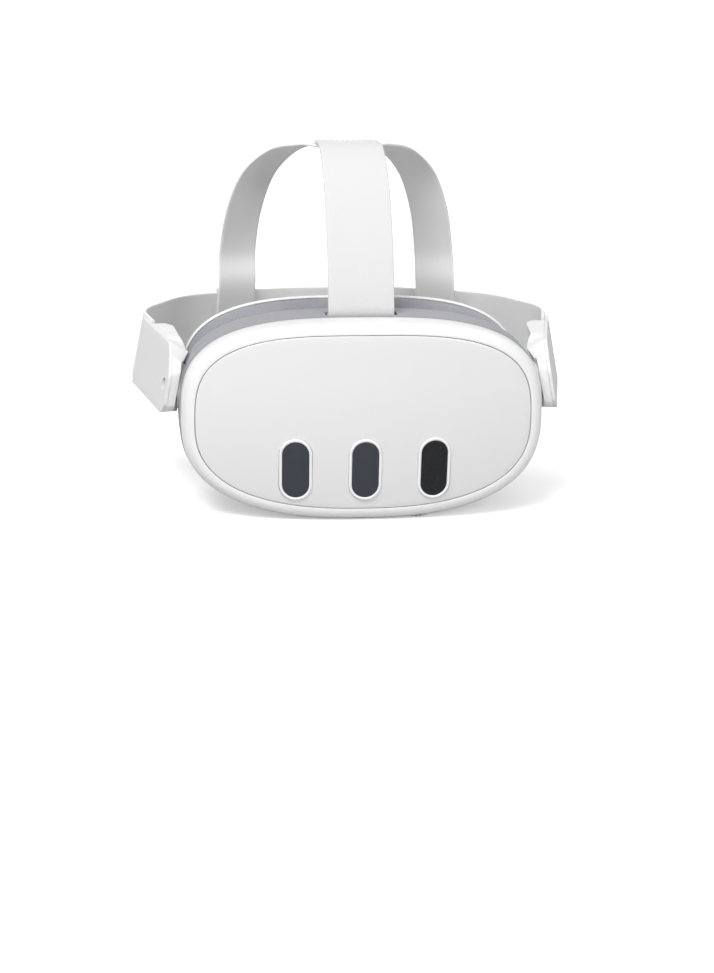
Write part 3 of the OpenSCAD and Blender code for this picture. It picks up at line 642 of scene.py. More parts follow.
# %% Build the middle frame
PIVOT = (39.5, 12.0)
SOCKET_OUTER = 13.0
FRAME_SHARE = 1.12
FRAME_INSET = 0.15
TONGUE_PLACES = (-48, 48)


def build_middle_frame():
    key = [(FRAME_INSET, SHELL_BACK + 0.1), (FRAME_INSET, 30), (FRAME_INSET, 38), (FRAME_INSET, 46),
           (0.9, 50.2), (2.2, 52), (3.4, FRAME_BACK)]
    rings = [flat_ring(FRAME_SHARE, inset, depth) for inset, depth in spline(key, 3)]
    rings += [flat_ring(FRAME_SHARE, 5, FRAME_BACK), flat_ring(FRAME_SHARE, 0.7 + WALL, 46),
              flat_ring(FRAME_SHARE, 0.7 + WALL, SHELL_BACK + 0.1)]
    piece = loft("ring_skin", rings, closed=True)
    hub = circle(PIVOT, SOCKET_OUTER + 0.15)
    cutters = [prism(f"hub_{side}", hub, "x", *sorted((side * 70, side * 120))) for side in (-1, 1)]
    cutters.append(prism("strap_slot", rectangle((-18.6, 40), (18.6, 60)), "y", 28.6, 37.4))
    cutters += [prism(f"tongue_slot_{x}", rectangle((x - 8.4, 36), (x + 8.4, 41.6)), "y", 44, 60)
                for x in TONGUE_PLACES]
    return cut(piece, *cutters)


ring_skin = dress(build_middle_frame(), ring_grey)
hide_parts("middle_frame")
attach(ring_skin, "visor")

# %% [markdown]
# ## Faceplate
# The faceplate is a shallow dome with three pill-shaped holes. Lofting can't make holes, so the flat
# outline and the holes are filled with even triangles first, and every point is then pushed back onto
# the dome. Its outer edge turns back in a small round.

# %% Build the faceplate
TRIM_EDGE = 1.6
GRID_STEP = 2.6


def pill(centre, width, height, count=40):
    """Upright pill outline, as pairs."""
    r, straight = width / 2, (height - width) / 2
    top = [(centre[0] + r * math.cos(t), centre[1] + straight + r * math.sin(t))
           for t in np.linspace(0, math.pi, count)]
    bottom = [(centre[0] + r * math.cos(t), centre[1] - straight + r * math.sin(t))
              for t in np.linspace(math.pi, 2 * math.pi, count)]
    return top + bottom


def inside(points, polygon):
    """Which points lie in a polygon, by counting crossings."""
    p, result = np.asarray(polygon), np.zeros(len(points), bool)
    for a, b in zip(p, np.roll(p, -1, axis=0)):
        crosses = (a[1] > points[:, 1]) != (b[1] > points[:, 1])
        with np.errstate(divide="ignore", invalid="ignore"):
            reach = (b[0] - a[0]) * (points[:, 1] - a[1]) / (b[1] - a[1]) + a[0]
        result ^= crosses & (points[:, 0] < reach)
    return result


def plate_outline(inset):
    return np.stack(scaled(FACE_HALF_W - inset, FACE_HALF_H - inset, FACE_HALF_H - inset), 1)


def build_faceplate():
    edge = [(0.75, 0.0), (0.45, 0.06), (0.24, 0.22), (0.15, 0.5), (0.15, 2.4)]
    outer = plate_outline(edge[0][0])
    hole_size = (WINDOW_W + 2 * TRIM_EDGE + 0.2, WINDOW_H + 2 * TRIM_EDGE + 0.2)
    holes = [pill((x, -WINDOW_DROP), *hole_size) for x in WINDOW_PLACES]
    xs = np.arange(-FACE_HALF_W, FACE_HALF_W, GRID_STEP)
    zs = np.arange(-FACE_HALF_H, FACE_HALF_H, GRID_STEP * 0.9)
    lattice = np.array([(x + (GRID_STEP / 2 if j % 2 else 0), z) for j, z in enumerate(zs) for x in xs])
    keep = inside(lattice, plate_outline(2.2))
    for x in WINDOW_PLACES:
        keep &= ~inside(lattice, pill((x, -WINDOW_DROP), hole_size[0] + 2.6, hole_size[1] + 2.6))
    lattice = lattice[keep]
    loops = [outer] + [np.array(h) for h in holes]
    points, edges = [], []
    for loop in loops:
        first = len(points)
        points += [tuple(p) for p in loop]
        edges += [(first + i, first + (i + 1) % len(loop)) for i in range(len(loop))]
    points += [tuple(p) for p in lattice]
    made = delaunay_2d_cdt([Vector(p) for p in points], edges, [], 0, 1e-6)
    flat = np.array([tuple(v) for v in made[0]])
    centres = np.array([flat[list(f)].mean(0) for f in made[2]])
    good = inside(centres, outer)
    for h in holes:
        good &= ~inside(centres, h)
    faces = [tuple(f) for f, ok in zip(made[2], good) if ok]
    vertices = [(x, bulge(x, z), z) for x, z in flat]
    # Walls: round the outer edge, and back through each hole.
    came_from = {source: i for i, sources in enumerate(made[3]) for source in sources}
    starts = np.cumsum([0] + [len(loop) for loop in loops])
    loops = [[came_from[first + i] for i in range(len(loop))] for first, loop in zip(starts, loops)]
    rows = [loops[0]]
    for inset, back in edge[1:]:
        ring = plate_outline(inset)
        rows.append(range(len(vertices), len(vertices) + len(ring)))
        vertices += [(x, bulge(x, z) + back, z) for x, z in ring]
    for hole, front in zip(holes, loops[1:]):
        back_row = range(len(vertices), len(vertices) + len(hole))
        vertices += [(x, bulge(x, z) + 2.4, z) for x, z in hole]
        faces += [(front[i], front[(i + 1) % len(hole)], back_row[(i + 1) % len(hole)], back_row[i])
                  for i in range(len(hole))]
    for a, b in zip(rows, rows[1:]):
        a, b = list(a), list(b)
        faces += [(a[i], a[(i + 1) % len(a)], b[(i + 1) % len(a)], b[i]) for i in range(len(a))]
    return new_object("faceplate_skin", stood(vertices), faces)


faceplate_skin = dress(build_faceplate(), faceplate_white)
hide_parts("faceplate")
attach(faceplate_skin, "visor")


# %% [markdown]
# ## Window trims and glass
# Each window has a bright, slightly proud bead round dark glass. The bead is a small rounded profile
# swept along the pill's outline, and it is set square to the dome at its window.

# %% Build the trims
def on_faceplate(x, points):
    """Puts points made round a window's middle onto the dome, facing straight out of it."""
    slope_x = 2 * BULGE_X * x / FACE_HALF_W ** 2
    slope_z = 2 * BULGE_Z * WINDOW_DROP / FACE_HALF_H ** 2
    turn = (Matrix.Translation((x, bulge(x, -WINDOW_DROP), -WINDOW_DROP))
            @ Matrix.Rotation(math.atan(slope_x), 4, "Z") @ Matrix.Rotation(math.atan(slope_z), 4, "X"))
    return stood([tuple(turn @ Vector(p)) for p in points])


BEAD = [(0.05, 4.4), (0.05, 0.2), (0.14, -0.22), (0.36, -0.47), (0.7, -0.58), (1.05, -0.55),
        (1.38, -0.36), (1.57, -0.05), (1.6, 0.4), (1.6, 4.4)]


def build_trims():
    vertices, faces = [], []
    for x in WINDOW_PLACES:
        rows = spline(BEAD, 3)
        first = len(vertices)
        for out, depth in rows:
            ring = pill((0, 0), WINDOW_W + 2 * out, WINDOW_H + 2 * out, 48)
            vertices += list(on_faceplate(x, [(u, depth, v) for u, v in ring]))
        faces += grid_faces(len(rows), 96, False, True, first)
    return new_object("window_beads", vertices, faces)


window_beads = dress(build_trims(), trim_white)
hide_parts("window_trims")
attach(window_beads, "visor")


# %% Build the glass
def build_panes():
    vertices, faces = [], []
    for x in WINDOW_PLACES:
        rows = [(-6.4, -0.3), (-0.6, -0.3), (-0.2, -0.22), (0.0, 0.0), (0.0, 1.3)]
        first = len(vertices)
        for out, depth in rows:
            ring = pill((0, 0), WINDOW_W + 2 * out, WINDOW_H + 2 * out, 48)
            vertices += list(on_faceplate(x, [(u, depth, v) for u, v in ring]))
        faces += grid_faces(len(rows), 96, False, True, first)
        faces.append(tuple(first + i for i in range(96)))
    return new_object("window_panes", vertices, faces)


window_panes = dress(build_panes(), window_tint_painted_reflection)
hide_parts("window_glass")
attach(window_panes, "visor")

# %% [markdown]
# ## The carrier behind the visor
# A plain grey frame slides in and out of the visor and carries the foam. It is a loft like the shell, with
# room left for the nose. Only its top strip shows from the front, between the visor and the foam.

# %% Shape of the nose opening
def around(points):
    """Smallest outline with no dents that holds all the points."""
    def half(ordered):
        kept = []
        for p in ordered:
            while len(kept) > 1 and ((kept[-1][0] - kept[-2][0]) * (p[1] - kept[-2][1])
                                     - (kept[-1][1] - kept[-2][1]) * (p[0] - kept[-2][0])) <= 0:
                kept.pop()
            kept.append(p)
        return kept[:-1]
    ordered = sorted(set(points))
    return half(ordered) + half(ordered[::-1])


def nose_outline(width, height):
    arch = circle((0, -LIFT + height - width * 0.32), width * 0.32, 64)
    foot = [(s * width * 0.75, z) for s in (-1, 1) for z in (-60.5, -59.5)]
    knee = [(s * width * 0.625, z) for s in (-1, 1) for z in (-48, -47)]
    return around(arch + foot + knee)


# %% Build the carrier
INTERFACE_FRONT = 52.9
CUSHION_FRONT = 62.6


def build_carrier():
    key = [(5, INTERFACE_FRONT), (4.2, INTERFACE_FRONT + 0.05), (3.4, INTERFACE_FRONT + 0.4),
           (2.8, INTERFACE_FRONT + 1.3), (2.6, INTERFACE_FRONT + 2.6), (2.4, CUSHION_FRONT - 0.3)]
    rings = [flat_ring(1, inset, depth) for inset, depth in key]
    rings += [flat_ring(1, 10.4, CUSHION_FRONT - 0.3), flat_ring(1, 9.4, INTERFACE_FRONT)]
    piece = loft("carrier_frame", rings, closed=True)
    cutters = [prism("nose", nose_outline(36, 26), "y", 50, 70)]
    cutters += [prism(f"button_{s}", circle((57.8, -18), 2.7, 48), "x", *sorted((s * 70, s * 85.4)))
                for s in (-1, 1)]
    cut(piece, *cutters)
    work = bmesh.new()
    work.from_mesh(piece.data)
    for x in TONGUE_PLACES:
        corners = [stood((x + i * 8, d, z)) for i in (-1, 1) for d in (45, 53.9) for z in (36.4, 41.2)]
        made = [work.verts.new(c) for c in corners]
        bmesh.ops.convex_hull(work, input=made)
    work.to_mesh(piece.data)
    work.free()
    return piece


carrier_frame = dress(build_carrier(), carrier_grey)
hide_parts("interface_frame")
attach(carrier_frame, "face_interface")


# %% [markdown]
# ## Face cushion
# The cushion is foam under a fine knit, and it bulges a little between its edges. Blender's cloth can do
# that: the cushion starts as a slightly lean ring, is rebuilt in even cells, and is blown up from inside
# while the side that is stuck to the carrier stays still. The swelling is capped so that it keeps its
# place.

# %% Start shape of the cushion
def cushion_back(x):
    return 80.5 + 4 * (x / 91) ** 2


def cushion_ring(inset, share, brow=2.4):
    x, z = rim(1, inset)
    raised = np.where(z > 0, z * (1 + brow / FACE_HALF_H), z)
    depth = CUSHION_FRONT + (cushion_back(x) - CUSHION_FRONT) * share
    return stood(np.stack([x, depth, np.maximum(raised, -LIFT + inset)], 1))


# Inset from the shell's outline, share of the way to the back, and how far the brow is raised.
CUSHION_PROFILE = [(3.8, 0.0, 0.6), (3.0, 0.1, 1.2), (2.6, 0.3, 2.0), (2.4, 0.55, 2.4), (2.7, 0.8, 2.4),
                   (4.0, 0.94, 2.4), (6.6, 0.995, 2.2), (9.4, 0.99, 2.0), (12.0, 0.9, 1.6),
                   (13.2, 0.72, 1.2), (13.4, 0.5, 1.2), (12.6, 0.22, 0.8), (11.2, 0.0, 0.4)]


def build_cushion_start():
    smooth = spline(CUSHION_PROFILE, 3)
    piece = loft("foam_cushion", [cushion_ring(i, s, b) for i, s, b in smooth], closed=True)
    return cut(piece, prism("nose", nose_outline(33.4, 24.3), "y", 50, 100))


# %% Blow the cushion up
SWELL_CAP = 0.0012
CLOTH_FRAMES = 16


def swell(piece, cell):
    """Even cells, then cloth with air pressure inside; the carrier side stays still."""
    remesh = piece.modifiers.new("even cells", "REMESH")
    remesh.mode = "VOXEL"
    remesh.voxel_size = cell
    apply_modifiers(piece)
    start = np.array([v.co for v in piece.data.vertices])
    held = piece.vertex_groups.new(name="stuck")
    front = stood((0, CUSHION_FRONT + 1.6, 0))[1]
    held.add([i for i, p in enumerate(start) if p[1] < front], 1.0, "REPLACE")
    cloth = piece.modifiers.new("air", "CLOTH")
    cloth.settings.use_pressure = True
    cloth.settings.uniform_pressure_force = 3.0
    cloth.settings.vertex_group_mass = "stuck"
    cloth.settings.effector_weights.gravity = 0
    cloth.settings.tension_stiffness = 25
    cloth.settings.compression_stiffness = 25
    cloth.point_cache.frame_end = CLOTH_FRAMES
    scene = bpy.context.scene
    for frame_number in range(1, CLOTH_FRAMES + 1):
        scene.frame_set(frame_number)
    apply_modifiers(piece)
    scene.frame_set(1)
    end = np.array([v.co for v in piece.data.vertices])
    move = end - start
    far = np.linalg.norm(move, axis=1, keepdims=True)
    end = start + move * np.minimum(1, SWELL_CAP / np.maximum(far, 1e-9))
    piece.data.vertices.foreach_set("co", end.ravel())
    piece.vertex_groups.clear()
    return float(far.max())


foam_cushion = build_cushion_start()
print("cushion swelled by up to", round(swell(foam_cushion, 0.0022) * 1000, 2), "mm before the cap")
relax = foam_cushion.modifiers.new("relax", "SMOOTH")
relax.iterations = 4
relax.factor = 0.5
finer = foam_cushion.modifiers.new("finer", "SUBSURF")
finer.levels = finer.render_levels = 1
apply_modifiers(foam_cushion)
foam_cushion.data.shade_smooth()
dress(foam_cushion, cushion_knit)
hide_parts("face_cushion")
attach(foam_cushion, "face_interface")


# %% [markdown]
# ## The piping along the cushion
# A thin pale lip runs round the back of the cushion over the brow and down the temples, where the knit
# is joined to the part that meets the face. It is a small round bead swept along the cushion's rear ring.
# Known fault: the order of the points breaks at one temple, so the bead also runs straight across the eyes.

# %% Sweep the lip
def sweep(name, path, radius, sides=12, flatten=1.0):
    """A round bead along an open path in metres, closed at both ends."""
    p = np.asarray(path, float)
    t = np.gradient(p, axis=0)
    t /= np.linalg.norm(t, axis=1, keepdims=True)
    rings = []
    up = np.array([0, 1.0, 0])
    for here, way in zip(p, t):
        across = np.cross(way, up)
        across /= np.linalg.norm(across)
        other = np.cross(across, way)
        rings.append([here + radius * (math.cos(a) * across + flatten * math.sin(a) * other)
                      for a in np.linspace(0, 2 * math.pi, sides, endpoint=False)])
    return loft(name, rings)


LIP_LOWEST = -14
LIP_RADIUS = 0.00095


def build_lip():
    middle, lowest = stood((0, 0, 0))[2], stood((0, 0, LIP_LOWEST))[2]
    upper = [p for p in cushion_ring(2.5, 0.92, 2.6) if p[2] > lowest]
    ordered = sorted(upper, key=lambda p: math.atan2(p[2] - middle, p[0]))
    return sweep("cushion_lip", ordered, LIP_RADIUS, flatten=1.3)


cushion_lip = dress(build_lip(), lip_white)
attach(cushion_lip, "face_interface")

# %% [markdown]
# ## Side arms
# Each arm is a white body with a pale cover set on its outer face. Both narrow to a rounded nose at the
# front. An arm leans inwards by a fixed angle, so its points are given by how far along the arm they
# lie, their height, and how far out they stand.

# %% Measures of the arms
LEAN = math.radians(10.6)
ARM_START = np.array([99.6, 25.5])
BAND_CORNERS = [ARM_START, np.array([118.0, 122.0]), np.array([92.0, 165.0]), np.array([31.0, 187.5])]
BAND_LOW, BAND_HIGH = 0.4, 37.0
BAND_MIDDLE = (BAND_LOW + BAND_HIGH) / 2
COVER_T = 1.6
BAND_T = 1.8
BAND_OUT = -(COVER_T + 0.15 + BAND_T / 2)
ARM_BACK = 86.0
PORT = (33.0, 15.0)


def unit(v):
    v = np.asarray(v, float)
    return v / np.linalg.norm(v)


ARM_HEADING = unit(BAND_CORNERS[1] - ARM_START)


def arm_point(depth):
    return ARM_START + ARM_HEADING * (depth - ARM_START[1]) / ARM_HEADING[1]


def band_place(p, way, height, out):
    """Point at a height and a distance out from plan point p, where the band heads along way."""
    o = np.array([way[1], -way[0], 0])
    w = math.cos(LEAN) * np.array([0, 0, 1]) - math.sin(LEAN) * o
    return np.array([p[0], p[1], BAND_MIDDLE]) + o * out + w * (height - BAND_MIDDLE) / math.cos(LEAN)


# %% Loft an arm part
TILT_MOST = math.radians(20)
SHOULDER_GAP = 0.7
SHOULDER_DROP = 5.4


def nose_low(depth):
    return BAND_LOW + 5 * max(0, 1 - (depth - ARM_START[1]) / 6) ** 2.2


def nose_high(depth):
    return BAND_HIGH - 1.6 - 15 * max(0, 1 - (depth - ARM_START[1]) / 14) ** 2


def arm_thickness(depth):
    t = 4.4 + 5.2 * min(1, (depth - ARM_START[1]) / 50)
    return t * (1 - 0.05 * (depth - 80)) if depth > 80 else t


def eased(u):
    v = min(1.0, max(0.0, u))
    return v * v * (3 - 2 * v)


def shoulder(depth):
    """Share of the shoulder, the thicker part of the arm's body that fills the space beside the visor."""
    return eased((depth - 28) / 5) * eased((50 - depth) / 6)


def frame_side(z):
    """Half width of the middle frame's outside at a height above the visor's middle."""
    half_w = FACE_HALF_W + FRAME_SHARE * RIM_SIDE - FRAME_INSET
    height = FACE_HALF_H + FRAME_SHARE * RIM_TOP - FRAME_INSET
    return half_w * (1 - (max(0, z) / height) ** TOP_ROUNDNESS) ** (1 / TOP_ROUNDNESS)


def shoulder_place(depth, height, out):
    """Point of the arm's inner face, clear of the visor even when the arm is tilted."""
    p = arm_point(depth)
    plain = band_place(p, ARM_HEADING, height, out)
    lowest = (height - abs(depth + 1.5 - PIVOT[0]) * math.sin(TILT_MOST)
              - max(0, height - PIVOT[1]) * (1 - math.cos(TILT_MOST)))
    more = max(0, plain[0] - frame_side(lowest) - SHOULDER_GAP) * shoulder(depth)
    return band_place(p, ARM_HEADING, height, out - more / ARM_HEADING[1])


def arm_loft(name, depths, out, thickness, bevel, flip, shouldered=False):
    """Arm-like slab from its outer face inwards; thickness is a function of depth."""
    rings = []
    for depth in depths:
        low, high, t = nose_low(depth), nose_high(depth), thickness(depth)
        p = arm_point(depth)
        ring = [band_place(p, ARM_HEADING, h, out) for h in np.linspace(low, high, 9)]
        if shouldered:
            top = high - SHOULDER_DROP * shoulder(depth)
            ring += [shoulder_place(depth, h, out - t) for h in np.linspace(top, low, 9)]
        else:
            ring += [band_place(p, ARM_HEADING, h, out - t) for h in np.linspace(high, low, 9)]
        rings.append(ring)
    points = stood(np.array(rings))
    if flip:
        points[..., 0] *= -1
    piece = loft(name, points)
    rounding = piece.modifiers.new("rounding", "BEVEL")
    rounding.width = bevel * MM
    rounding.segments = 4
    rounding.limit_method = "ANGLE"
    rounding.angle_limit = math.radians(50)
    apply_modifiers(piece)
    piece.data.shade_smooth()
    piece.data.set_sharp_from_angle(angle=SHARP_ANGLE)
    return piece


def nose_depths(first, last):
    curved = [first + 14 * u * u for u in np.linspace(0, 1, 30)]
    return curved + list(np.linspace(first + 18, last, 14))


# %% Openings in the arms
def box_on_arm(name, depth, low, high, flip):
    """Block in the arm's own frame at a depth: along it, up it and outwards."""
    p, n = arm_point(depth), np.array([ARM_HEADING[1], -ARM_HEADING[0], 0])
    w = math.cos(LEAN) * np.array([0, 0, 1]) - math.sin(LEAN) * n
    along = np.array([ARM_HEADING[0], ARM_HEADING[1], 0])
    out = np.cross(along, w)
    corners = []
    for a in (low[0], high[0]):
        ring = rectangle(low[1:], high[1:])
        corners.append([np.array([p[0], p[1], BAND_MIDDLE]) + along * a + w * b + out * c for b, c in ring])
    points = stood(np.array(corners))
    if flip:
        points[..., 0] *= -1
    return loft(name, points)


def port_cutter(name, width, height, flip):
    side = -1 if flip else 1
    outline = circle(PORT, width / 2, 64) if height <= width else pill(PORT, width, height, 32)
    return prism(name, outline, "x", *sorted((side * 88, side * 120)))


# %% Build the arms and their covers
HUB_RADIUS = 11.5
HUB_REACH = (84.6, 95)


def build_side(side):
    flip = side == "right"
    name = f"{side}_arm_"
    port = (6.0, 6.0) if flip else (3.4, 9.4)
    body = arm_loft(name + "body", nose_depths(26.1, ARM_BACK), -COVER_T - 0.1, arm_thickness, 1.2, flip,
                    shouldered=True)
    cutters = [port_cutter("port", *port, flip)]
    cutters += [box_on_arm(f"slot_{i}", 68, (i * 3.6 - 0.7, -30, -6.6), (i * 3.6 + 0.7, -10, -4.6), flip)
                for i in range(-2, 3)]
    if not flip:
        cutters.append(prism("power", rectangle((52.5, -5), (63.5, 5)), "x", 99.8, 105.6))
    cut(body, *cutters)
    work = bmesh.new()
    work.from_mesh(body.data)
    sign = -1 if flip else 1
    ends = [stood([(sign * x, d, z) for d, z in circle(PIVOT, HUB_RADIUS, 96)]) for x in HUB_REACH]
    rows = [[work.verts.new(p) for p in ring] for ring in ends]
    for i in range(96):
        work.faces.new((rows[0][i], rows[0][(i + 1) % 96], rows[1][(i + 1) % 96], rows[1][i]))
    for row in rows:
        work.faces.new(row)
    bmesh.ops.recalc_face_normals(work, faces=work.faces)
    work.to_mesh(body.data)
    work.free()
    dress(body, shell_white)
    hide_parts(f"{side}_arm")
    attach(body, f"{side}_arm")
    cover = arm_loft(name + "panel", nose_depths(25.5, 101), 0.0, lambda d: COVER_T, 0.45, flip)
    cut(cover, port_cutter("port", *((6.2, 6.2) if flip else (3.8, 9.8)), flip))
    dress(cover, cover_grey)
    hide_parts(f"{side}_arm_cover")
    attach(cover, f"{side}_arm")


for side in ("left", "right"):
    build_side(side)

# %% [markdown]
# ## Straps
# Every strap is woven elastic about a millimetre and a half thick. A shallow groove runs beside each
# rounded edge, where the weave turns back. One helper makes them all: a small cross-section carried along a
# path, with a map in metres so that the threads keep their size and run along the strap.

# %% Strap helper
def strap_section(width, thickness, across_points=17):
    """Closed outline: position across the strap and height over its middle, in millimetres."""
    edge = 1.6
    u = np.sin(np.linspace(-math.pi / 2, math.pi / 2, across_points)) * (width / 2)
    near_edge = np.clip(1 - (width / 2 - np.abs(u)) / edge, 0, 1)
    round_off = np.sqrt(np.clip(1 - near_edge ** 4, 0.04, 1))
    swell_in = 1 - 0.10 * np.exp(-((width / 2 - np.abs(u) - 3.2) / 0.7) ** 2)
    half = thickness / 2 * round_off * swell_in
    return np.concatenate([np.stack([u, half], 1), np.stack([u[::-1], -half[::-1]], 1)])


def strap(name, centres, directions, width, thickness):
    """Strap along centres, its width along directions. All in millimetres; maps metres onto the mesh."""
    c = np.asarray(centres, float)
    way = np.gradient(c, axis=0)
    way /= np.linalg.norm(way, axis=1, keepdims=True)
    d = np.asarray(directions, float)
    d = d - way * np.sum(way * d, axis=1, keepdims=True)
    d /= np.linalg.norm(d, axis=1, keepdims=True)
    face = np.cross(way, d)
    outline = strap_section(width, thickness)
    rings = c[:, None, :] + outline[None, :, :1] * d[:, None, :] + outline[None, :, 1:] * face[:, None, :]
    piece = loft(name, stood(rings))
    along = np.concatenate([[0], np.cumsum(np.linalg.norm(np.diff(c, axis=0), axis=1))]) * MM
    across = outline[:, 0] * MM
    columns = len(outline)
    layer = piece.data.uv_layers.new(name="metres")
    for loop in piece.data.loops:
        i = loop.vertex_index
        layer.data[loop.index].uv = (along[i // columns], across[i % columns])
    piece["cloth_length"] = float(along[-1])
    return piece


# %% [markdown]
# ## Head band
# The band goes from one arm, round behind the head, to the other. In plan it is straight runs with rounded
# bends, the same on both sides, and it leans in like the arms.

# %% Build the band
def fillet(a, b, c, radius, steps):
    """Arc that rounds the corner b."""
    u, v = unit(a - b), unit(c - b)
    half = math.acos(float(u @ v)) / 2
    middle = b + unit(u + v) * radius / math.sin(half)
    start = b + u * radius / math.tan(half) - middle
    end = b + v * radius / math.tan(half) - middle
    turn = math.pi - 2 * half
    return [middle + (start * math.sin(turn * (1 - s / steps)) + end * math.sin(turn * s / steps))
            / math.sin(turn) for s in range(steps + 1)]


def spaced(points, step):
    """The same path with points added so that none are further apart than step."""
    out = [np.asarray(points[0], float)]
    for a, b in zip(points, points[1:]):
        a, b = np.asarray(a, float), np.asarray(b, float)
        count = max(1, math.ceil(np.linalg.norm(b - a) / step))
        out += [a + (b - a) * k / count for k in range(1, count + 1)]
    return np.array(out)


def band_path():
    a, b, c, d = BAND_CORNERS
    side = fillet(a, b, c, 42, 28) + fillet(b, c, d, 46, 24) + fillet(c, d, np.array([-31, 187.5]), 70, 16)
    half = [arm_point(88)] + side
    whole = half + [p * np.array([-1, 1]) for p in half[::-1]]
    return spaced(whole, 3.0)


def build_band():
    plan = band_path()
    way = np.gradient(plan, axis=0)
    way /= np.linalg.norm(way, axis=1, keepdims=True)
    centres = [band_place(p, w, BAND_MIDDLE, BAND_OUT) for p, w in zip(plan, way)]
    upward = [band_place(p, w, BAND_HIGH, BAND_OUT) - c for p, w, c in zip(plan, way, centres)]
    width = (BAND_HIGH - BAND_LOW) / math.cos(LEAN)
    return strap("band_strap", centres, upward, width, BAND_T), width


band_strap, band_width = build_band()
dress(band_strap, band_fabric)
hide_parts("head_band")
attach(band_strap, "left_arm")
print("band length", round(band_strap["cloth_length"], 3), "m")

# %% [markdown]
# ## Rear straps
# Two straps go from the crown down to the band behind the head, one each side. They twist on the way:
# they lie flat on the crown and stand upright where they meet the band. Each is cut off at the middle,
# where the two are sewn together.

# %% Path of a rear strap
HOOP_W, HOOP_T = 22.6, 1.6
HOOP_POINTS = [[0, 108, 126.2], [8.2, 120.2, 126.3], [17.8, 134.8, 125.6], [31.5, 152.2, 120.1],
               [44.7, 163.4, 105.6], [52.7, 168.9, 83.9], [56.3, 171.9, 59]]
HOOP_EDGES = [[0.47, -0.87, 0.11], [0.59, -0.8, 0.07], [0.7, -0.71, 0.04], [0.8, -0.6, 0.05],
              [0.86, -0.5, 0.03], [0.91, -0.42, 0.01], [0.93, -0.37, 0]]
DIAGONAL = unit(BAND_CORNERS[3] - BAND_CORNERS[2])
HOOP_FOOT = BAND_CORNERS[2] + DIAGONAL * 33.7
HOOP_OUT = BAND_OUT - BAND_T / 2 - 0.3 - 1.5 - 0.3 - HOOP_T / 2


def hoop_line():
    p = np.array(HOOP_POINTS, float)
    before = p[0] - 0.7 * (p[1] - p[0])
    feet = [band_place(HOOP_FOOT, DIAGONAL, h, HOOP_OUT) for h in (BAND_HIGH + 5, 20, BAND_LOW)]
    line = np.vstack([before, p, feet])
    across = -np.array([DIAGONAL[0], DIAGONAL[1], 0])
    edges = np.vstack([HOOP_EDGES[0], HOOP_EDGES, across, across, across])
    return spline(line, 9), spline(edges, 9)


# %% Build both rear straps
def keep_side(work, point, normal):
    """Cuts a mesh along a plane, keeps the side that normal points to, and closes the cut."""
    made = bmesh.ops.bisect_plane(work, geom=work.verts[:] + work.edges[:] + work.faces[:], plane_co=point,
                                  plane_no=normal, clear_inner=True)
    rim_edges = [e for e in made["geom_cut"] if isinstance(e, bmesh.types.BMEdge)]
    bmesh.ops.holes_fill(work, edges=rim_edges, sides=0)


def build_rear_straps():
    centres, edges = hoop_line()
    piece = strap("rear_straps", centres, edges, HOOP_W, HOOP_T)
    work = bmesh.new()
    work.from_mesh(piece.data)
    keep_side(work, (0, 0, 0), (1, 0, 0))
    keep_side(work, tuple(stood((0, 98.5, 0))), (0, 1, 0))
    other = bmesh.ops.duplicate(work, geom=work.verts[:] + work.edges[:] + work.faces[:])["geom"]
    for v in (g for g in other if isinstance(g, bmesh.types.BMVert)):
        v.co.x = -v.co.x
    bmesh.ops.reverse_faces(work, faces=[g for g in other if isinstance(g, bmesh.types.BMFace)])
    work.to_mesh(piece.data)
    work.free()
    return piece


rear_straps = dress(build_rear_straps(), hoop_fabric)
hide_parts("rear_hoop")
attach(rear_straps, "left_arm")

# %% [markdown]
# ## Front strap
# The front strap goes down through the slot in the top of the visor, round a steel bar, and back on itself;
# a second layer with hooks and loops holds it.

# %% Build the front strap and its second layer
FRONT_W, FRONT_T = 34.3, 1.5
FRONT_LINE = np.array([[0, 30.7, 45.6], [0, 30.9, 54], [0, 33.6, 67], [0, 39.6, 82], [0, 48.6, 97.5],
                       [0, 60.5, 111.7], [0, 74, 121.8], [0, 86, 127.2], [0, 97, 129.5], [0, 109, 129.3],
                       [0, 122, 128.8]], float)
SIDEWAYS = np.array([1.0, 0, 0])


def build_front_strap():
    turn = [[0, 33 - 2.3 * math.cos(a), 45.6 - 2.3 * math.sin(a)] for a in np.linspace(math.pi, 0, 17)]
    path = np.vstack([[[0, 35.3, 50.6], [0, 35.3, 48.2]], turn, spline(FRONT_LINE[1:], 10)])
    return strap("top_strap", path, [SIDEWAYS] * len(path), FRONT_W, FRONT_T)


def build_second_layer():
    line = spline(FRONT_LINE[1:7], 10)[:-6]
    way = np.gradient(line, axis=0)
    way /= np.linalg.norm(way, axis=1, keepdims=True)
    moved = line + (FRONT_T + 0.3) * np.stack([np.zeros(len(line)), way[:, 2], -way[:, 1]], 1)
    kept = np.vstack([[[0, 34.8, 51.4]], moved[moved[:, 2] > 57]])
    return strap("hook_strap", kept, [SIDEWAYS] * len(kept), FRONT_W - 1.6, FRONT_T)


top_strap = dress(build_front_strap(), front_fabric)
hook_strap = dress(build_second_layer(), hook_fabric)
for piece, node, width in ((top_strap, "front_strap", FRONT_W), (hook_strap, "strap_tab", FRONT_W - 1.6)):
    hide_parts(node)
    tuple(stood((0, 34, 48)))
    tuple(stood((0, 92, 129)))
    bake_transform(piece)
    print(piece.name, round(piece["cloth_length"], 3), "m")

# %% [markdown]
# ## Stitches
# At the crown the front strap is sewn to the two rear straps with a box of stitches. Each stitch is a short
# round-ended thread laid half into the cloth, so the box is one mesh of many small capsules.

# %% Sew the crown
THREAD_R = 0.00022
STITCH = 0.0022
STITCH_GAP = 0.0011


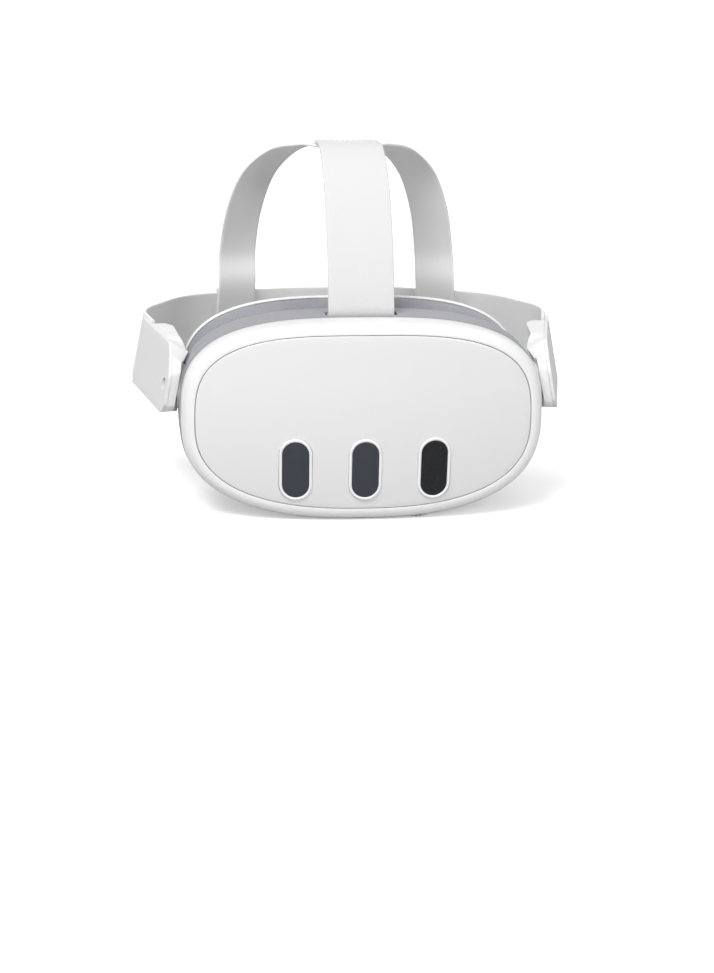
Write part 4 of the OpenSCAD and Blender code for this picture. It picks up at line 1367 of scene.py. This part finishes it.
def capsule(work, middle, along, up, length, radius):
    """A thread with pointed-round ends: six-sided rings that swell from tip to middle and back."""
    side = along.cross(up).normalized()
    rings = []
    for share, size in ((-0.5, 0.25), (-0.42, 0.75), (-0.25, 1), (0.25, 1), (0.42, 0.75), (0.5, 0.25)):
        centre = middle + along * (share * length)
        rings.append([work.verts.new(centre + (side * math.cos(a) + up * math.sin(a)) * radius * size)
                      for a in np.linspace(0, 2 * math.pi, 6, endpoint=False)])
    for a, b in zip(rings, rings[1:]):
        for i in range(6):
            work.faces.new((a[i], a[(i + 1) % 6], b[(i + 1) % 6], b[i]))
    work.faces.new(rings[0][::-1])
    work.faces.new(rings[-1])


def crown_height(depth):
    return float(np.interp(depth, FRONT_LINE[:, 1], FRONT_LINE[:, 2])) + FRONT_T / 2


def build_crown_stitches():
    corners = [(-14.5, 103), (14.5, 103), (14.5, 119.5), (-14.5, 119.5), (-14.5, 103)]
    lines = list(zip(corners, corners[1:])) + [((-14.5, 103), (14.5, 119.5)), ((14.5, 103), (-14.5, 119.5))]
    work = bmesh.new()
    for (x0, d0), (x1, d1) in lines:
        a, b = Vector(stood((x0, d0, crown_height(d0)))), Vector(stood((x1, d1, crown_height(d1))))
        count = max(1, round((b - a).length / (STITCH + STITCH_GAP)))
        along = (b - a).normalized()
        up = Vector((1, 0, 0)).cross(Vector((0, 1, -0.03))).normalized()
        for k in range(count):
            share = (k + 0.5) / count
            middle = a.lerp(b, share)
            middle.z = float(stood((0, 0, crown_height((d0 + (d1 - d0) * share))))[2]) + THREAD_R * 0.2
            capsule(work, middle, along, up, STITCH, THREAD_R)
    mesh = bpy.data.meshes.new("crown_stitches")
    work.to_mesh(mesh)
    work.free()
    mesh.shade_smooth()
    piece = bpy.data.objects.new("crown_stitches", mesh)
    bpy.context.scene.collection.objects.link(piece)
    return piece


crown_stitches = dress(build_crown_stitches(), lip_white)
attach(crown_stitches, "left_arm")
print("stitches", len(crown_stitches.data.polygons) // 32)

# %% [markdown]
# ## Parts kept from the mechanical model
# The remaining parts are already the right shape, so they keep their meshes. Machined and moulded parts
# never have knife-sharp edges, so many of them get a small bevel, and every one gets a finish of its own.

# %% Finish the kept parts
KEPT = {
    "camera_modules": (module_black, 0.2), "chassis": (inner_black, 0), "mainboard": (board_green, 0),
    "battery": (rubber_black, 0.4), "fan_frame": (inner_black, 0), "fan_rotor": (inner_black, 0),
    "heat_sink": (aluminium, 0.1), "guide_rods": (steel, 0), "standoffs": (steel, 0),
    "housing_screws": (steel, 0.1), "eye_bezel": (inner_black, 0.25),
    "proximity_sensor": (module_black, 0.2), "strap_bar": (steel, 0.2),
    "left_arm_socket": (ring_grey, 0), "right_arm_socket": (ring_grey, 0),
    "left_hinge_pin": (steel, 0), "right_hinge_pin": (steel, 0), "left_barrel": (inner_black, 0.3),
    "right_barrel": (inner_black, 0.3), "left_lens": (lens_clear, 0), "right_lens": (lens_clear, 0),
    "left_display": (module_black, 0), "right_display": (module_black, 0), "left_rack": (steel, 0),
    "right_rack": (steel, 0), "ipd_wheel": (ring_grey, 0.15), "ipd_pinion": (brass, 0),
    "ipd_idler": (brass, 0), "volume_rocker": (shell_white, 0.35), "nose_flap": (rubber_black, 0.25),
    "left_depth_button": (ring_grey, 0.2), "right_depth_button": (ring_grey, 0.2),
    "left_speaker": (inner_black, 0), "right_speaker": (inner_black, 0), "usb_socket": (steel, 0.1),
    "power_button": (shell_white, 0.3), "audio_jack": (inner_black, 0.15),
    "left_adjuster": (shell_white, 0.5), "right_adjuster": (shell_white, 0.5)}


def finish_kept(name, material, bevel):
    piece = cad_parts[name]
    piece.data.materials.clear()
    piece.data.materials.append(material)
    if bevel:
        weld = piece.modifiers.new("weld", "WELD")
        weld.merge_threshold = 0.000005
        rounding = piece.modifiers.new("rounding", "BEVEL")
        rounding.width = bevel * MM
        rounding.segments = 2
        rounding.limit_method = "ANGLE"
        rounding.angle_limit = math.radians(40)
        rounding.harden_normals = True


for name, (material, bevel) in KEPT.items():
    finish_kept(name, material, bevel)
left_out = [name for name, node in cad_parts.items() if not node.hide_render and name not in KEPT]
print(len(KEPT), "kept parts; without a finish:", left_out)

# %% [markdown]
# ## Studio
# The object stands on a seamless pale floor that curves up behind it. Four soft lamps, one much stronger
# than the rest, and an even, bright surrounding give gentle gradients on the white shells and small clean
# highlights on the beads.

# %% Floor
def build_floor():
    profile = [(-2.2, 0.0), (0.9, 0.0)]
    profile += [(0.9 + 0.6 * math.sin(a), 0.6 - 0.6 * math.cos(a))
                for a in np.linspace(0.05, math.pi / 2, 24)]
    profile.append((1.5, 3.0))
    rows = [[(x, y, z - 0.0002) for y, z in profile] for x in (-4.0, 4.0)]
    points = [p for row in rows for p in row]
    floor = new_object("floor", points, grid_faces(2, len(profile), False, False))
    material, tree, shader = new_material("floor_paper")
    place = tree.nodes.new("ShaderNodeTexCoord").outputs["Object"]
    tone = mix_colour(tree, noise(tree, place, 2.0, 2.0), grey(0.93), grey(0.96))
    shader.inputs["Roughness"].default_value = 0.95
    shader.inputs["Specular IOR Level"].default_value = 0.1
    # Seen directly the paper glows a little; what it throws back onto the object is kept modest.
    seen = tree.nodes.new("ShaderNodeLightPath").outputs["Is Camera Ray"]
    wire(tree, mix_colour(tree, seen, grey(0.55), tone), shader.inputs["Base Color"])
    wire(tree, tone, shader.inputs["Emission Color"])
    wire(tree, math_node(tree, "MULTIPLY", seen, 0.4), shader.inputs["Emission Strength"])
    floor.data.materials.append(material)
    return floor


floor = build_floor()
floor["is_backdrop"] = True
print("floor", [round(v, 2) for v in floor.dimensions], "m")


# %% Light
def soft_lamp(name, place, aim, size, power):
    data = bpy.data.lights.new(name, "AREA")
    data.shape = "RECTANGLE"
    data.size, data.size_y = size
    data.energy = power
    lamp = bpy.data.objects.new(name, data)
    bpy.context.scene.collection.objects.link(lamp)
    lamp.location = place
    lamp.rotation_euler = (Vector(aim) - Vector(place)).to_track_quat("-Z", "Y").to_euler()
    return lamp


soft_lamp("key_lamp", (-0.8, -1.15, 2.0), (0, 0.02, 0.08), (1.2, 1.0), 41)
soft_lamp("left_lamp", (-1.7, -0.2, 1.0), (0, 0.05, 0.1), (0.8, 1.0), 3)
soft_lamp("right_lamp", (1.2, -1.7, 1.2), (0, 0.02, 0.06), (0.8, 1.0), 13)
soft_lamp("rear_lamp", (0.5, 1.2, 1.5), (0, 0.1, 0.1), (1.2, 0.6), 5)
world = bpy.data.worlds.new("studio_air")
world.use_nodes = True
world.node_tree.nodes["Background"].inputs["Color"].default_value = (1, 1, 1, 1)
# The surrounding looks white, but lights the object less than white paper would.
air = world.node_tree
seen_air = math_node(air, "MULTIPLY", air.nodes.new("ShaderNodeLightPath").outputs["Is Camera Ray"], 0.58)
wire(air, math_node(air, "ADD", seen_air, 0.42), air.nodes["Background"].inputs["Strength"])
bpy.context.scene.world = world
bpy.context.scene.view_settings.view_transform = "Standard"

# %% [markdown]
# ## Camera
# The camera looks at the middle of the faceplate from a little above and to one side, far enough away
# that the perspective is mild. A small shift frames the strap above and the floor below.

# %% Aim the camera
AZIMUTH = math.radians(-6.3)
ELEVATION = math.radians(14)
DISTANCE = 1.2
CAMERA_ROLL = math.radians(0.8)
LENS = 87.46
SHIFT = (-0.009558, -0.063618)


def aim_camera():
    target = Vector(stood((0, 0, 0)))
    back = Vector((math.sin(AZIMUTH) * math.cos(ELEVATION), -math.cos(AZIMUTH) * math.cos(ELEVATION),
                   math.sin(ELEVATION)))
    right = Vector((math.cos(AZIMUTH), math.sin(AZIMUTH), 0))
    up = back.cross(right)
    turned_right = right * math.cos(CAMERA_ROLL) + up * math.sin(CAMERA_ROLL)
    turned_up = up * math.cos(CAMERA_ROLL) - right * math.sin(CAMERA_ROLL)
    data = bpy.data.cameras.new("camera")
    data.sensor_fit = "VERTICAL"
    data.sensor_height = 36
    data.lens = LENS
    data.shift_x, data.shift_y = SHIFT
    camera = bpy.data.objects.new("camera", data)
    bpy.context.scene.collection.objects.link(camera)
    axes = Matrix((turned_right, turned_up, back)).transposed().to_4x4()
    axes.translation = target + back * DISTANCE
    camera.matrix_world = axes
    bpy.context.scene.camera = camera
    return camera


camera = aim_camera()
print("camera at", tuple(round(v, 3) for v in camera.location))

# %% [markdown]
# ## Sizes
# The dressed model's box is printed beside the mechanical one's, axis by axis, in millimetres.

# %% Print the sizes
visual_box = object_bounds()
for label, low, high, seen_low, seen_high in zip("xyz", *cad_box, *visual_box):
    print(label, [round(v * 1000, 2) for v in (low, high, seen_low, seen_high)])
